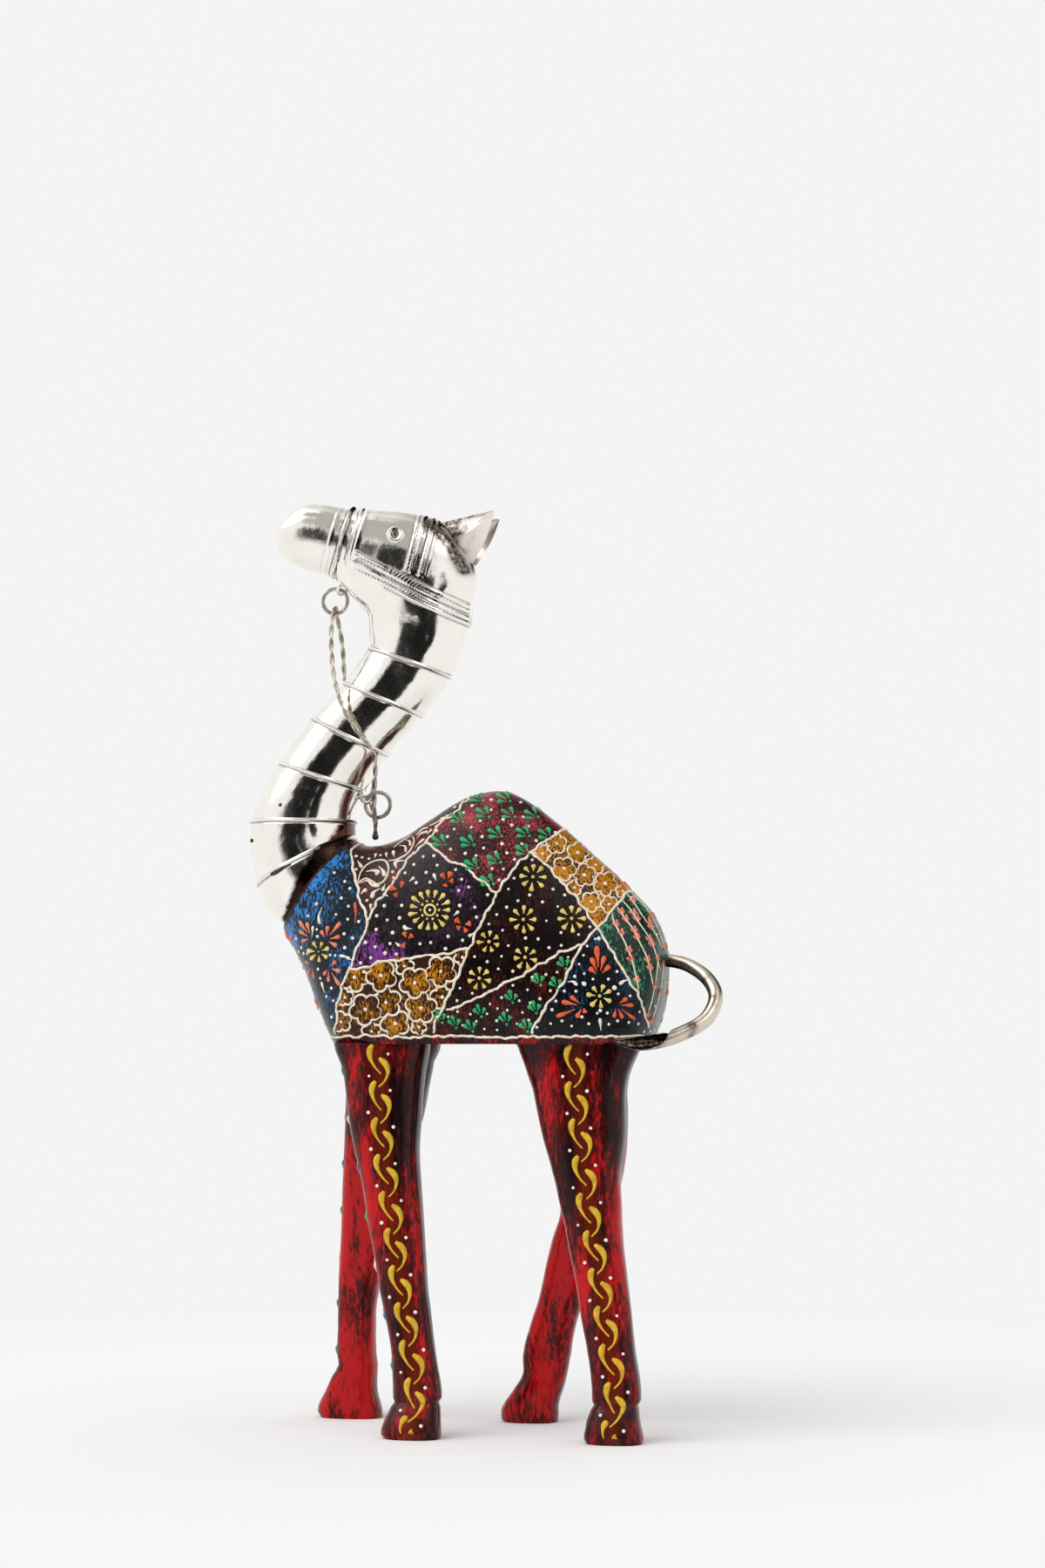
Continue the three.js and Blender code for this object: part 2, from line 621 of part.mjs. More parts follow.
// The tail: sheet rolled into a tube that opens near its end into a leaf-shaped mouth
function rolledTail() {
  const steps = 27;
  const arcSteps = 6;
  const last = TAIL.length - 1;
  const at = (s) => new THREE.Vector3(...smoothed(TAIL, s).slice(0, 3));
  const rings = Array.from({ length: steps + 1 }, (_, k) => {
    const s = (last * k) / steps;
    const [, , , half, rolled] = smoothed(TAIL, s);
    const middle = at(s);
    const tangent = at(Math.min(last, s + 0.05)).sub(at(Math.max(0, s - 0.05))).normalize();
    const towards = TAIL_CENTRE.clone().sub(middle).normalize();
    const opened = THREE.MathUtils.smoothstep(s, last - 3.4, last - 1.6);
    towards.lerp(new THREE.Vector3(0, -1, 0.25), opened);
    towards.addScaledVector(tangent, -towards.dot(tangent)).normalize();
    const sideways = tangent.clone().cross(towards);
    const reach = THREE.MathUtils.degToRad(rolled);
    const arc = (radius, way) =>
      Array.from({ length: arcSteps + 1 }, (_, i) => {
        const turn = way * reach * (1 - (2 * i) / arcSteps);
        return middle
          .clone()
          .addScaledVector(towards, -radius * Math.cos(turn))
          .addScaledVector(sideways, radius * Math.sin(turn));
      });
    return [...arc(half, 1), ...arc(Math.max(half - SHEET, 0.12), -1)];
  });
  return solid(loft(rings));
}

// A closed ring of wire in the plane of the camel's profile
function wireRing(centre) {
  const ring = new THREE.TorusGeometry(RING.radius, RING.wire, 8, 28);
  ring.rotateX(Math.PI / 2);
  ring.translate(...centre.toArray());
  return solid(ring);
}

// The rein: one twisted wire that goes over the chin ring
function rein() {
  const low = CHIN_RING.clone();
  low.z -= RING.radius;
  const bend = [-1, -0.7, 0, 0.7, 1].map((share) => {
    const angle = (share * Math.PI) / 2;
    return new THREE.Vector3(
      low.x,
      REIN_BEND * Math.sin(angle),
      low.z + REIN_BEND * Math.cos(angle),
    );
  });
  const points = [
    ...REIN_LEFT.map((p) => new THREE.Vector3(...p)),
    ...bend,
    ...REIN_RIGHT.map((p) => new THREE.Vector3(...p)),
  ];
  const section = new THREE.Shape();
  for (let i = 0; i < 8; i++) {
    const angle = (Math.PI * i) / 4;
    const [x, y] = [REIN_RADIUS * Math.cos(angle), REIN_RADIUS * Math.sin(angle)];
    if (i) section.lineTo(x, y);
    else section.moveTo(x, y);
  }
  return solid(
    new THREE.ExtrudeGeometry(section, {
      steps: REIN_STEPS,
      extrudePath: new THREE.CatmullRomCurve3(points),
    }),
  );
}

// The drop: where the ends of the rein are twisted together and hammered, below the neck ring
function reinDrop() {
  const profile = [
    [0, 0],
    [0.9, 0],
    [0.75, -1.0],
    [1.0, -2.6],
    [1.15, -3.8],
    [0.8, -4.9],
    [0, -5.3],
  ].map(([r, h]) => new THREE.Vector2(r, h));
  const drop = new THREE.LatheGeometry(profile, 12);
  drop.rotateX(Math.PI / 2);
  drop.translate(REIN_LEFT[0][0], 0, REIN_LEFT[0][2] - GAP);
  return solid(drop);
}

// The camel

const wood = new THREE.Group();
wood.add(piece("body_block", carvedBody(), "paint"));
for (const [name, rows] of Object.entries(LEGS)) wood.add(piece(name, carvedLeg(name, rows), "red"));
for (const { name, pin } of legDowels) wood.add(piece(name, pin, "wood"));
wood.add(piece("neck_core", carvedNeck(), "wood"));
wood.add(piece("neck_dowel", neckDowel, "wood"));

const metal = new THREE.Group();
for (const [name, sheet] of metalSheets) metal.add(piece(name, sheet, "metal"));
metal.add(piece("left_ear", ear(-1, 0), "metal"));
metal.add(piece("right_ear", ear(1, RIGHT_EAR_DROP), "metal"));
metal.add(piece("left_eye", leftEye.body, "metal"));
metal.add(piece("right_eye", rightEye.body, "metal"));
metal.add(piece("tail", rolledTail(), "metal"));

const harness = new THREE.Group();
harness.add(piece("chin_eyelet", chinEyelet.body, "wire"));
harness.add(piece("neck_eyelet", neckEyelet.body, "wire"));
harness.add(piece("chin_ring", wireRing(CHIN_RING), "wire"));
harness.add(piece("neck_ring", wireRing(NECK_RING), "wire"));
harness.add(piece("rein", rein(), "wire"));
harness.add(piece("rein_drop", reinDrop(), "wire"));

const camel = new THREE.Group();
camel.add(wood, metal, harness);

export default camel;
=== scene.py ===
import math
import random

import bmesh
import bpy
import numpy as np
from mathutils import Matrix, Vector, noise
from mathutils.bvhtree import BVHTree


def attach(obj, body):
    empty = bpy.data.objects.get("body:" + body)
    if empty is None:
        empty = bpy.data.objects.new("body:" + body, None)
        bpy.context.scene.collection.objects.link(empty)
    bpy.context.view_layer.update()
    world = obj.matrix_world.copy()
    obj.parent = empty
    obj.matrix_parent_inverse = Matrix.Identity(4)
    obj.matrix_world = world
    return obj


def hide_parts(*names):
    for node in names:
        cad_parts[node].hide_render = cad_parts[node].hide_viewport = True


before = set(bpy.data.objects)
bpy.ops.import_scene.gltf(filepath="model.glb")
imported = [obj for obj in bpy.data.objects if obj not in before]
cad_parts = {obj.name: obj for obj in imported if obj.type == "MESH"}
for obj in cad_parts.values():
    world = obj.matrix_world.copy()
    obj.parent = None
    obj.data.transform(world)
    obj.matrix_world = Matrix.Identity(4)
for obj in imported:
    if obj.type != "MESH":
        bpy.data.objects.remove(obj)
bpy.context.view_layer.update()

# Camera
# The photograph is taken from about 1.1 m away, level with the belly and a little behind the left side.
# The camel looks along -X, its left side is the -Y side, and lengths are millimetres up to the mesh.
PHOTO_CENTRE = (600, 900)
FOCAL_PIXELS = 3828.4
PHOTO_HEIGHT = 1800
CAMERA_PLACE = Vector((240.0, -1068.43, 126.9))
CAMERA_AIM = Vector((12.43, 0, 209.95))
MM = 0.001

ahead = (CAMERA_AIM - CAMERA_PLACE).normalized()
rightward = ahead.cross(Vector((0, 0, 1))).normalized()
upward = rightward.cross(ahead)

camera_data = bpy.data.cameras.new("camera")
camera_data.sensor_width = 36
camera_data.lens = FOCAL_PIXELS * camera_data.sensor_width / PHOTO_HEIGHT
camera = bpy.data.objects.new("camera", camera_data)
camera.location = CAMERA_PLACE * MM
camera.rotation_euler = ahead.to_track_quat("-Z", "Y").to_euler()
bpy.context.scene.collection.objects.link(camera)
bpy.context.scene.camera = camera
bpy.context.scene.view_settings.view_transform = "Standard"


def pixels_of(points):
    """Where points in millimetres show in the photograph."""
    away = np.asarray(points, float) - np.array(CAMERA_PLACE)
    depth = away @ np.array(ahead)
    across = PHOTO_CENTRE[0] + FOCAL_PIXELS * (away @ np.array(rightward)) / depth
    down = PHOTO_CENTRE[1] - FOCAL_PIXELS * (away @ np.array(upward)) / depth
    return np.stack((across, down), -1)


# Paper and lights
# The figurine stands on white paper in soft light from all round, a little stronger from the upper left.
# Its polished metal mirrors a bright room that has soft-edged dark areas behind the camera.
PAPER = "#F4F4F4"
PAPER_RADIUS = 560
SOFT_LIGHT = 0.7
KEY_LIGHT = 1.25
# What gloss mirrors, as lobes: azimuth from the camel's left side towards its tail, elevation, and the
# angles from its middle at which a lobe is full and gone, all in degrees. Later kinds cover earlier ones.
LOBES = [
    ((3.6, 3.6, 3.6, 1), [(-58, 50, 12, 30), (45, 56, 8, 24)]),
    (
        (0.5, 0.49, 0.46, 1),
        [(13, 68, 3, 30), (-5, 35, 15, 24), (-22, 57, 9, 16), (135, 55, 3, 48), (-26, 7, 4, 9)],
    ),
    (
        (0.005, 0.005, 0.0045, 1),
        [
            (-15, 10, 8, 12), (1, 2, 11, 15), (12, -10, 10, 15), (24, -2, 9, 12), (28, 11, 6, 10),
            (0, 20, 6, 10), (-22, 9, 3, 8), (117, 39, 3, 12), (152, 35, 15, 27),
        ],
    ),
]


def colour(code):
    """An sRGB hex value as the linear colour that a shader takes."""
    parts = [int(code[i : i + 2], 16) / 255 for i in (1, 3, 5)]
    return (*[p / 12.92 if p <= 0.04045 else ((p + 0.055) / 1.055) ** 2.4 for p in parts], 1)


def add_node(tree, kind, inputs=None, **settings):
    """A node with its settings, each input linked to a socket or set to a value."""
    node = tree.nodes.new("ShaderNode" + kind)
    for name, value in settings.items():
        setattr(node, name, value)
    for name, value in (inputs or {}).items():
        if isinstance(value, bpy.types.NodeSocket):
            tree.links.new(value, node.inputs[name])
        else:
            node.inputs[name].default_value = value
    return node


world = bpy.data.worlds.new("white_studio")
world.use_nodes = True
bpy.context.scene.world = world
tree = world.node_tree
tree.nodes.clear()
rays = add_node(tree, "LightPath")
way = add_node(tree, "TexCoord").outputs["Generated"]
blotches = add_node(tree, "TexNoise", {"Vector": way, "Scale": 3.0, "Detail": 2.0})
shifted = add_node(
    tree, "VectorMath", {0: blotches.outputs["Color"], 1: (0.14, 0.14, 0.14), 2: way},
    operation="MULTIPLY_ADD",
)
centred = add_node(tree, "VectorMath", {0: shifted.outputs[0], 1: (0.07, 0.07, 0.07)}, operation="SUBTRACT")
unit = add_node(tree, "VectorMath", {0: centred.outputs[0]}, operation="NORMALIZE")
mirrored = (1, 1, 1, 1)
for shade_colour, lobes in LOBES:
    shade = None
    for azimuth, elevation, full, gone in lobes:
        a, e = math.radians(azimuth), math.radians(elevation)
        middle = (math.sin(a) * math.cos(e), -math.cos(a) * math.cos(e), math.sin(e))
        nearness = add_node(tree, "VectorMath", {0: unit.outputs[0], 1: middle}, operation="DOT_PRODUCT")
        lobe = add_node(
            tree, "MapRange",
            {
                "Value": nearness.outputs["Value"], "From Min": math.cos(math.radians(gone)),
                "From Max": math.cos(math.radians(full)),
            },
            interpolation_type="SMOOTHSTEP",
        )
        if shade is not None:
            lobe = add_node(tree, "Math", {0: shade, 1: lobe.outputs[0]}, operation="MAXIMUM")
        shade = lobe.outputs[0]
    mixed = add_node(tree, "MixRGB", {"Fac": shade, "Color1": mirrored, "Color2": shade_colour})
    mirrored = mixed.outputs[0]
room = add_node(tree, "Background", {"Color": mirrored, "Strength": 1.02})
paper = add_node(tree, "Background", {"Color": colour(PAPER), "Strength": 1.0})
soft = add_node(tree, "Background", {"Color": (1, 1, 1, 1), "Strength": SOFT_LIGHT})
straight = add_node(
    tree, "Math", {0: rays.outputs["Is Camera Ray"], 1: rays.outputs["Is Transmission Ray"]},
    operation="MAXIMUM",
)
seen_straight = add_node(tree, "MixShader", {0: straight.outputs[0], 1: soft.outputs[0], 2: paper.outputs[0]})
seen_mirrored = add_node(
    tree, "MixShader", {0: rays.outputs["Is Glossy Ray"], 1: seen_straight.outputs[0], 2: room.outputs[0]},
)
add_node(tree, "OutputWorld", {"Surface": seen_mirrored.outputs[0]})

lamp_data = bpy.data.lights.new("softbox", "SUN")
lamp_data.energy = KEY_LIGHT
lamp_data.angle = math.radians(55)
lamp = bpy.data.objects.new("softbox", lamp_data)
lamp.rotation_euler = Vector((-0.5, -0.62, 0.75)).to_track_quat("Z", "Y").to_euler()
lamp.visible_glossy = False
bpy.context.scene.collection.objects.link(lamp)

floor_mesh = bpy.data.meshes.new("paper")
floor_corners = [
    (PAPER_RADIUS * MM * math.cos(math.tau * k / 96), PAPER_RADIUS * MM * math.sin(math.tau * k / 96), 0)
    for k in range(96)
]
floor_mesh.from_pydata(floor_corners, [], [list(range(96))])
floor = bpy.data.objects.new("paper", floor_mesh)
bpy.context.scene.collection.objects.link(floor)
floor_material = bpy.data.materials.new("white_paper")
floor_material.use_nodes = True
tree = floor_material.node_tree
tree.nodes.clear()
place = add_node(tree, "TexCoord").outputs["Object"]
reach = add_node(tree, "VectorMath", {0: place}, operation="LENGTH")
fading = add_node(
    tree, "MapRange", {"Value": reach.outputs["Value"], "From Min": 0.2, "From Max": 0.5},
    interpolation_type="SMOOTHSTEP",
)
white = add_node(tree, "BsdfDiffuse", {"Color": colour("#FCFCFC")})
gone = add_node(tree, "BsdfTransparent")
sheet_of_paper = add_node(tree, "MixShader", {0: fading.outputs[0], 1: white.outputs[0], 2: gone.outputs[0]})
add_node(tree, "OutputMaterial", {"Surface": sheet_of_paper.outputs[0]})
floor_mesh.materials.append(floor_material)

# Rein
# One length of thin white-metal wire doubled and twisted, folded over the chin ring. One half hangs down
# each side of the neck, and the two ends meet in the drop below the neck ring.
REIN_LEFT = [
    (-37.3, -1.25, 197.4), (-37.2, -2.1, 199.6), (-37.0, -3.2, 204.2), (-36.2, -6.2, 209.4),
    (-34.9, -10.0, 214.3), (-34.3, -13.4, 218.6), (-35.3, -15.6, 221.6), (-37.9, -17.0, 225.0),
    (-41.0, -17.4, 229.5), (-43.9, -17.0, 234.2), (-46.6, -14.8, 240.6), (-48.8, -11.8, 246.8),
    (-50.6, -8.0, 255.0), (-51.6, -4.2, 263.6),
]
REIN_OVER_RING = [
    (-51.5, -2.1, 267.9), (-51.5, -1.87, 268.85), (-51.5, 0.0, 270.0), (-51.5, 1.87, 268.85),
    (-51.5, 2.1, 267.9),
]
REIN_RIGHT = [
    (-51.2, 3.6, 264.0), (-50.8, 6.5, 258.4), (-51.2, 10.0, 251.8), (-51.6, 13.4, 245.2),
    (-50.8, 16.2, 238.4), (-49.0, 17.6, 231.6), (-46.4, 17.6, 225.4), (-43.2, 15.8, 219.6),
    (-41.0, 12.0, 214.2), (-40.2, 7.4, 209.2), (-39.8, 3.9, 204.6), (-38.4, 2.2, 200.4), (-37.5, 1.25, 197.4),
]
STRAND_RADIUS = 0.42
STRAND_OFFSET = 0.42
REIN_TURN = 11.0  # millimetres for one full twist
DROP_TOP = Vector((-37.4, 0, 197.3))


def through(points, step):
    """A smooth line through points, as points about one step apart."""
    points = [np.array(p, float) for p in points]
    ends = [2 * points[0] - points[1], *points, 2 * points[-1] - points[-2]]
    line = []
    for a, b, c, d in zip(ends, ends[1:], ends[2:], ends[3:]):
        count = max(1, round(float(np.linalg.norm(c - b)) / step))
        for k in range(count):
            t = k / count
            line.append(
                0.5
                * (2 * b + (c - a) * t + (2 * a - 5 * b + 4 * c - d) * t**2 + (3 * b - a - 3 * c + d) * t**3)
            )
    line.append(points[-1])
    return np.array(line)


def unit_rows(rows):
    return rows / np.maximum(np.linalg.norm(rows, axis=-1, keepdims=True), 1e-9)


def loft_faces(rings, sides, closed=False, first=0):
    """The faces between rings of points, with a cap at each end unless the rings close on themselves."""
    faces = []
    for r in range(rings if closed else rings - 1):
        a, b = first + r * sides, first + ((r + 1) % rings) * sides
        for i in range(sides):
            j = (i + 1) % sides
            faces.append((a + i, b + i, b + j, a + j))
    if not closed:
        last = first + (rings - 1) * sides
        faces.append(tuple(first + i for i in range(sides)))
        faces.append(tuple(last + i for i in reversed(range(sides))))
    return faces


def tube(line, radii, sides, first=0, turn=0.0):
    """Points and faces of a round tube along a line."""
    line = np.asarray(line, float)
    tangents = unit_rows(np.gradient(line, axis=0))
    side = np.cross(tangents[0], (0.3, 0.9, 0.4))
    rings = []
    for k, (centre, tangent) in enumerate(zip(line, tangents)):
        side = side - tangent * float(side @ tangent)
        side = side / np.linalg.norm(side)
        other = np.cross(tangent, side)
        radius = radii[k] if np.ndim(radii) else radii
        for i in range(sides):
            angle = math.tau * i / sides + turn
            rings.append(centre + radius * (math.cos(angle) * side + math.sin(angle) * other))
    return rings, loft_faces(len(line), sides, first=first)


def make_piece(name, points, faces, materials, slot, body="camel", sharp=40, stands_for=()):
    """A mesh piece from points in millimetres, riding on its body."""
    mesh = bpy.data.meshes.new(name)
    mesh.from_pydata([tuple(float(x) * MM for x in p) for p in points], [], faces)
    mesh.validate()
    made = bmesh.new()
    made.from_mesh(mesh)
    bmesh.ops.recalc_face_normals(made, faces=made.faces)
    made.to_mesh(mesh)
    made.free()
    mesh.shade_smooth()
    mesh.set_sharp_from_angle(angle=math.radians(sharp))
    for material in materials:
        mesh.materials.append(material)
    made_object = bpy.data.objects.new(name, mesh)
    bpy.context.scene.collection.objects.link(made_object)
    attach(made_object, body)
    if stands_for:
        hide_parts(*stands_for)
    return made_object


def start_material(name):
    material = bpy.data.materials.new(name)
    material.use_nodes = True
    return material, material.node_tree, material.node_tree.nodes["Principled BSDF"]


# Nickel-silver wire, drawn and a little aged: light, with grey-brown tarnish in patches.
wire_metal, tree, shader = start_material("aged_nickel_silver_wire")
place = add_node(tree, "TexCoord").outputs["Object"]
tarnish = add_node(tree, "TexNoise", {"Vector": place, "Scale": 420.0, "Detail": 3.0})
tarnished = add_node(tree, "MapRange", {"Value": tarnish.outputs[0], "From Min": 0.4, "From Max": 0.68})
wire_colour = add_node(
    tree, "MixRGB", {"Fac": tarnished.outputs[0], "Color1": colour("#C9C2B6"), "Color2": colour("#8C7E6C")},
)
tree.links.new(wire_colour.outputs[0], shader.inputs["Base Color"])
wire_rough = add_node(tree, "MapRange", {"Value": tarnish.outputs[0], "To Min": 0.22, "To Max": 0.42})
tree.links.new(wire_rough.outputs[0], shader.inputs["Roughness"])
shader.inputs["Metallic"].default_value = 1.0

rein_line = through([*REIN_LEFT, *REIN_OVER_RING, *REIN_RIGHT], 0.55)
rein_steps = np.linalg.norm(np.diff(rein_line, axis=0), axis=1)
rein_reach = np.concatenate(([0], np.cumsum(rein_steps)))
rein_tangents = unit_rows(np.gradient(rein_line, axis=0))
strands = []
strand_faces = []
for strand in (0, 1):
    side = np.cross(rein_tangents[0], (1, 0, 0))
    twisted = []
    for centre, tangent, reached in zip(rein_line, rein_tangents, rein_reach):
        side = side - tangent * float(side @ tangent)
        side = side / np.linalg.norm(side)
        angle = math.tau * reached / REIN_TURN + strand * math.pi
        away = math.cos(angle) * side + math.sin(angle) * np.cross(tangent, side)
        twisted.append(centre + STRAND_OFFSET * away)
    points, faces = tube(twisted, STRAND_RADIUS, 10, first=len(strands))
    strands += points
    strand_faces += faces
rein = make_piece("twisted_rein", strands, strand_faces, [wire_metal], "wire", "rein", stands_for=["rein"])

# Drop: the twisted ends of the rein, hammered into a small dark teardrop.
drop_metal, tree, shader = start_material("scorched_wire_drop")
place = add_node(tree, "TexCoord").outputs["Object"]
scorch = add_node(tree, "TexNoise", {"Vector": place, "Scale": 700.0, "Detail": 4.0})
scorched = add_node(tree, "MapRange", {"Value": scorch.outputs[0], "From Min": 0.35, "From Max": 0.7})
drop_colour = add_node(
    tree, "MixRGB", {"Fac": scorched.outputs[0], "Color1": colour("#3A2E27"), "Color2": colour("#8A7A6C")},
)
tree.links.new(drop_colour.outputs[0], shader.inputs["Base Color"])
shader.inputs["Metallic"].default_value = 1.0
shader.inputs["Roughness"].default_value = 0.38
drop_line = [DROP_TOP + Vector((0, 0, -h)) for h in np.linspace(0, 5.2, 27)]
drop_widths = [
    float(np.interp(h, [0, 0.2, 1.4, 3.0, 4.0, 4.8, 5.15, 5.2], [0.5, 0.75, 0.5, 0.8, 1.12, 0.95, 0.4, 0.1]))
    for h in np.linspace(0, 5.2, 27)
]
points, faces = tube([tuple(p) for p in drop_line], drop_widths, 20)
for k, point in enumerate(points):
    down = DROP_TOP.z - point[2]
    flattened = 1 - 0.3 * min(1, max(0, (down - 1.5) / 2))
    point[1] = point[1] * flattened
    point += 0.05 * np.array(noise.noise_vector(Vector(point) * 1.7))
rein_drop = make_piece("hammered_drop", points, faces, [drop_metal], "wire", "rein", stands_for=["rein_drop"])

# Body
# One block of light wood carved to the camel's body and hump, sawn flat under the belly, and painted in
# dark patches that are rubbed so that a second colour shows in streaks, under a semi-gloss lacquer.
TORSO = [
    (60.1, 148.1, 60.3, 155.0, 5.0, 0.05, 2.1), (59.2, 139.4, 58.4, 161.3, 12.0, 0.08, 2.1),
    (57.3, 131.6, 55.1, 167.7, 16.8, 0.12, 2.15), (54.0, 123.7, 50.1, 173.2, 20.0, 0.16, 2.2),
    (48.8, 117.3, 44.1, 179.4, 22.3, 0.19, 2.2), (41.2, 112.8, 36.9, 185.8, 23.8, 0.22, 2.25),
    (31.6, 110.8, 28.2, 193.5, 24.5, 0.24, 2.3), (20.0, 110.1, 18.5, 201.4, 24.8, 0.26, 2.3),
    (8.2, 110.0, 8.2, 207.2, 24.8, 0.27, 2.3), (-4.6, 110.3, -1.2, 207.1, 24.8, 0.27, 2.3),
    (-17.6, 111.2, -10.9, 203.2, 24.6, 0.26, 2.3), (-29.8, 113.0, -19.2, 197.7, 24.3, 0.24, 2.3),
    (-40.0, 116.0, -26.8, 193.1, 23.9, 0.2, 2.25), (-47.7, 121.5, -32.9, 190.8, 23.0, 0.16, 2.2),
    (-54.0, 133.6, -37.8, 190.1, 21.6, 0.12, 2.2), (-59.9, 147.9, -41.4, 190.6, 19.6, 0.06, 2.15),
    (-67.5, 161.9, -44.4, 192.2, 17.2, 0.0, 2.15),
]
BELLY_Z = 124.8
BODY_ROUND = 260
BODY_STEP = 0.08

# The seams between the patches, as pixels of the photograph
SEAMS = {
    "A": [
        (403, 976), (408, 1006), (412, 1031), (422, 1057), (414, 1080), (402, 1112), (392, 1137), (387, 1157),
        (385, 1188),
    ],
    "B": [(422, 1057), (434, 1035), (451, 1014), (469, 986), (489, 967), (504, 947), (524, 931), (538, 918)],
    "D": [(489, 967), (504, 978), (516, 988), (534, 994), (541, 1002), (570, 1025)],
    "E": [(570, 1025), (579, 1012), (592, 995), (610, 978), (642, 955)],
    "F": [
        (570, 1025), (562, 1041), (547, 1071), (539, 1089), (526, 1120), (514, 1145), (500, 1173),
        (498, 1186),
    ],
    "G": [(402, 1113), (422, 1110), (453, 1102), (483, 1099), (516, 1094), (540, 1089)],
    "H": [(512, 1159), (520, 1157), (541, 1149), (570, 1134), (604, 1117), (638, 1097), (667, 1084)],
    "K": [(610, 978), (629, 995), (646, 1014), (663, 1033), (686, 1065)],
    "M": [(686, 1065), (701, 1048), (718, 1025)],
    "I": [(686, 1065), (672, 1079), (659, 1103), (646, 1128), (629, 1153), (615, 1174), (610, 1187)],
    "N": [(686, 1065), (699, 1086), (709, 1103), (724, 1128), (735, 1147), (743, 1172), (745, 1180)],
    "edge": [
        (384, 1191), (430, 1189), (470, 1191), (520, 1189), (570, 1191), (620, 1190), (680, 1190),
        (712, 1190),
    ],
}
PLUM_PATCH = [*SEAMS["A"][3:6], *SEAMS["G"], *SEAMS["F"][3::-1], *SEAMS["D"][::-1], *SEAMS["B"][4::-1]]
AMBER_PATCH = [*SEAMS["A"][5:], (385, 1300), (498, 1300), *SEAMS["F"][:2:-1], *SEAMS["G"][::-1]]
BLACK_PATCH = [*SEAMS["F"], *SEAMS["H"], *SEAMS["I"][1::-1], *SEAMS["K"][::-1], *SEAMS["E"][2::-1]]
RUMP_PATCH = [*SEAMS["E"][:2:-1], (610, 978), *SEAMS["K"], *SEAMS["M"], (800, 960), (700, 850), (650, 850)]
PATCHES = [
    ("blue", [(250, 900), *SEAMS["A"], (385, 1300), (250, 1300)]),
    ("maroon", [(403, 900), *SEAMS["A"][:4], *SEAMS["B"], (538, 850)]),
    ("pink", [(538, 850), *SEAMS["B"][:3:-1], *SEAMS["D"], *SEAMS["E"], (660, 900), (660, 850)]),
    ("plum", PLUM_PATCH), ("amber", AMBER_PATCH), ("black", BLACK_PATCH), ("amber", RUMP_PATCH),
    ("teal", [*SEAMS["M"][::-1], *SEAMS["N"], (760, 1300), (900, 1200), (800, 960)]),
    ("navy", [*SEAMS["I"], (610, 1300), (760, 1300), *SEAMS["N"][::-1]]),
    ("russet", [*SEAMS["F"][-4:], (498, 1300), (610, 1300), *SEAMS["I"][::-1], *SEAMS["H"][::-1]]),
]


def rounded(x, squareness):
    return np.sign(x) * np.abs(x) ** (2 / squareness)


def smoothed(stations, s):
    """Rows between the stations, on a smooth curve through them."""
    rows = np.array(stations, float)
    last = len(rows) - 1
    i = np.clip(np.floor(s).astype(int), 0, last - 1)
    t = (s - i)[..., None]
    a, b, c, d = (rows[np.clip(i + k, 0, last)] for k in (-1, 0, 1, 2))
    return 0.5 * (2 * b + (c - a) * t + (2 * a - 5 * b + 4 * c - d) * t**2 + (3 * b - a - 3 * c + d) * t**3)


def skin(stations, s, angle):
    """Points on a carved form. The angle runs from the lower point, round the left side."""
    x0, z0, x1, z1, half, pear, squareness = np.moveaxis(smoothed(stations, s), -1, 0)
    u = -rounded(np.cos(angle), squareness)
    side = rounded(np.sin(angle), squareness)
    return np.stack(
        ((x0 + x1) / 2 + u * (x1 - x0) / 2, -half * side * (1 - pear * u), (z0 + z1) / 2 + u * (z1 - z0) / 2),
        -1,
    )


def skin_grid(stations, s_values, sides):
    """A grid of points on a carved form, with the directions out of it."""
    last = len(stations) - 1
    s, angle = np.meshgrid(s_values, math.tau * np.arange(sides) / sides, indexing="ij")
    points = skin(stations, s, angle)
    step = 0.02
    along = skin(stations, np.minimum(s + step, last), angle) - skin(stations, np.maximum(s - step, 0), angle)
    round_it = skin(stations, s, angle + step) - skin(stations, s, angle - step)
    out = unit_rows(np.cross(along, round_it))
    outward = points - points.mean(axis=1, keepdims=True)
    out[(out * outward).sum(-1) < 0] *= -1
    return points, out


def inside(polygon, spots):
    """Which of the spots lie in a polygon."""
    x, y = spots[:, 0], spots[:, 1]
    within = np.zeros(len(spots), bool)
    for (x0, y0), (x1, y1) in zip(polygon, [*polygon[1:], polygon[0]]):
        if y0 == y1:
            continue
        crosses = (y0 > y) != (y1 > y)
        within ^= crosses & (x < (x1 - x0) * (y - y0) / (y1 - y0) + x0)
    return within


def on_near_side(points):
    """Points with those of the far side carried across to their mirror places on the near side."""
    near = points.reshape(-1, 3).copy()
    near[:, 1] = -np.abs(near[:, 1])
    return near


def waves(point, size, height):
    """Small unevenness of a hand-worked surface, about one size apart."""
    return height * noise.noise(Vector(point) / size)
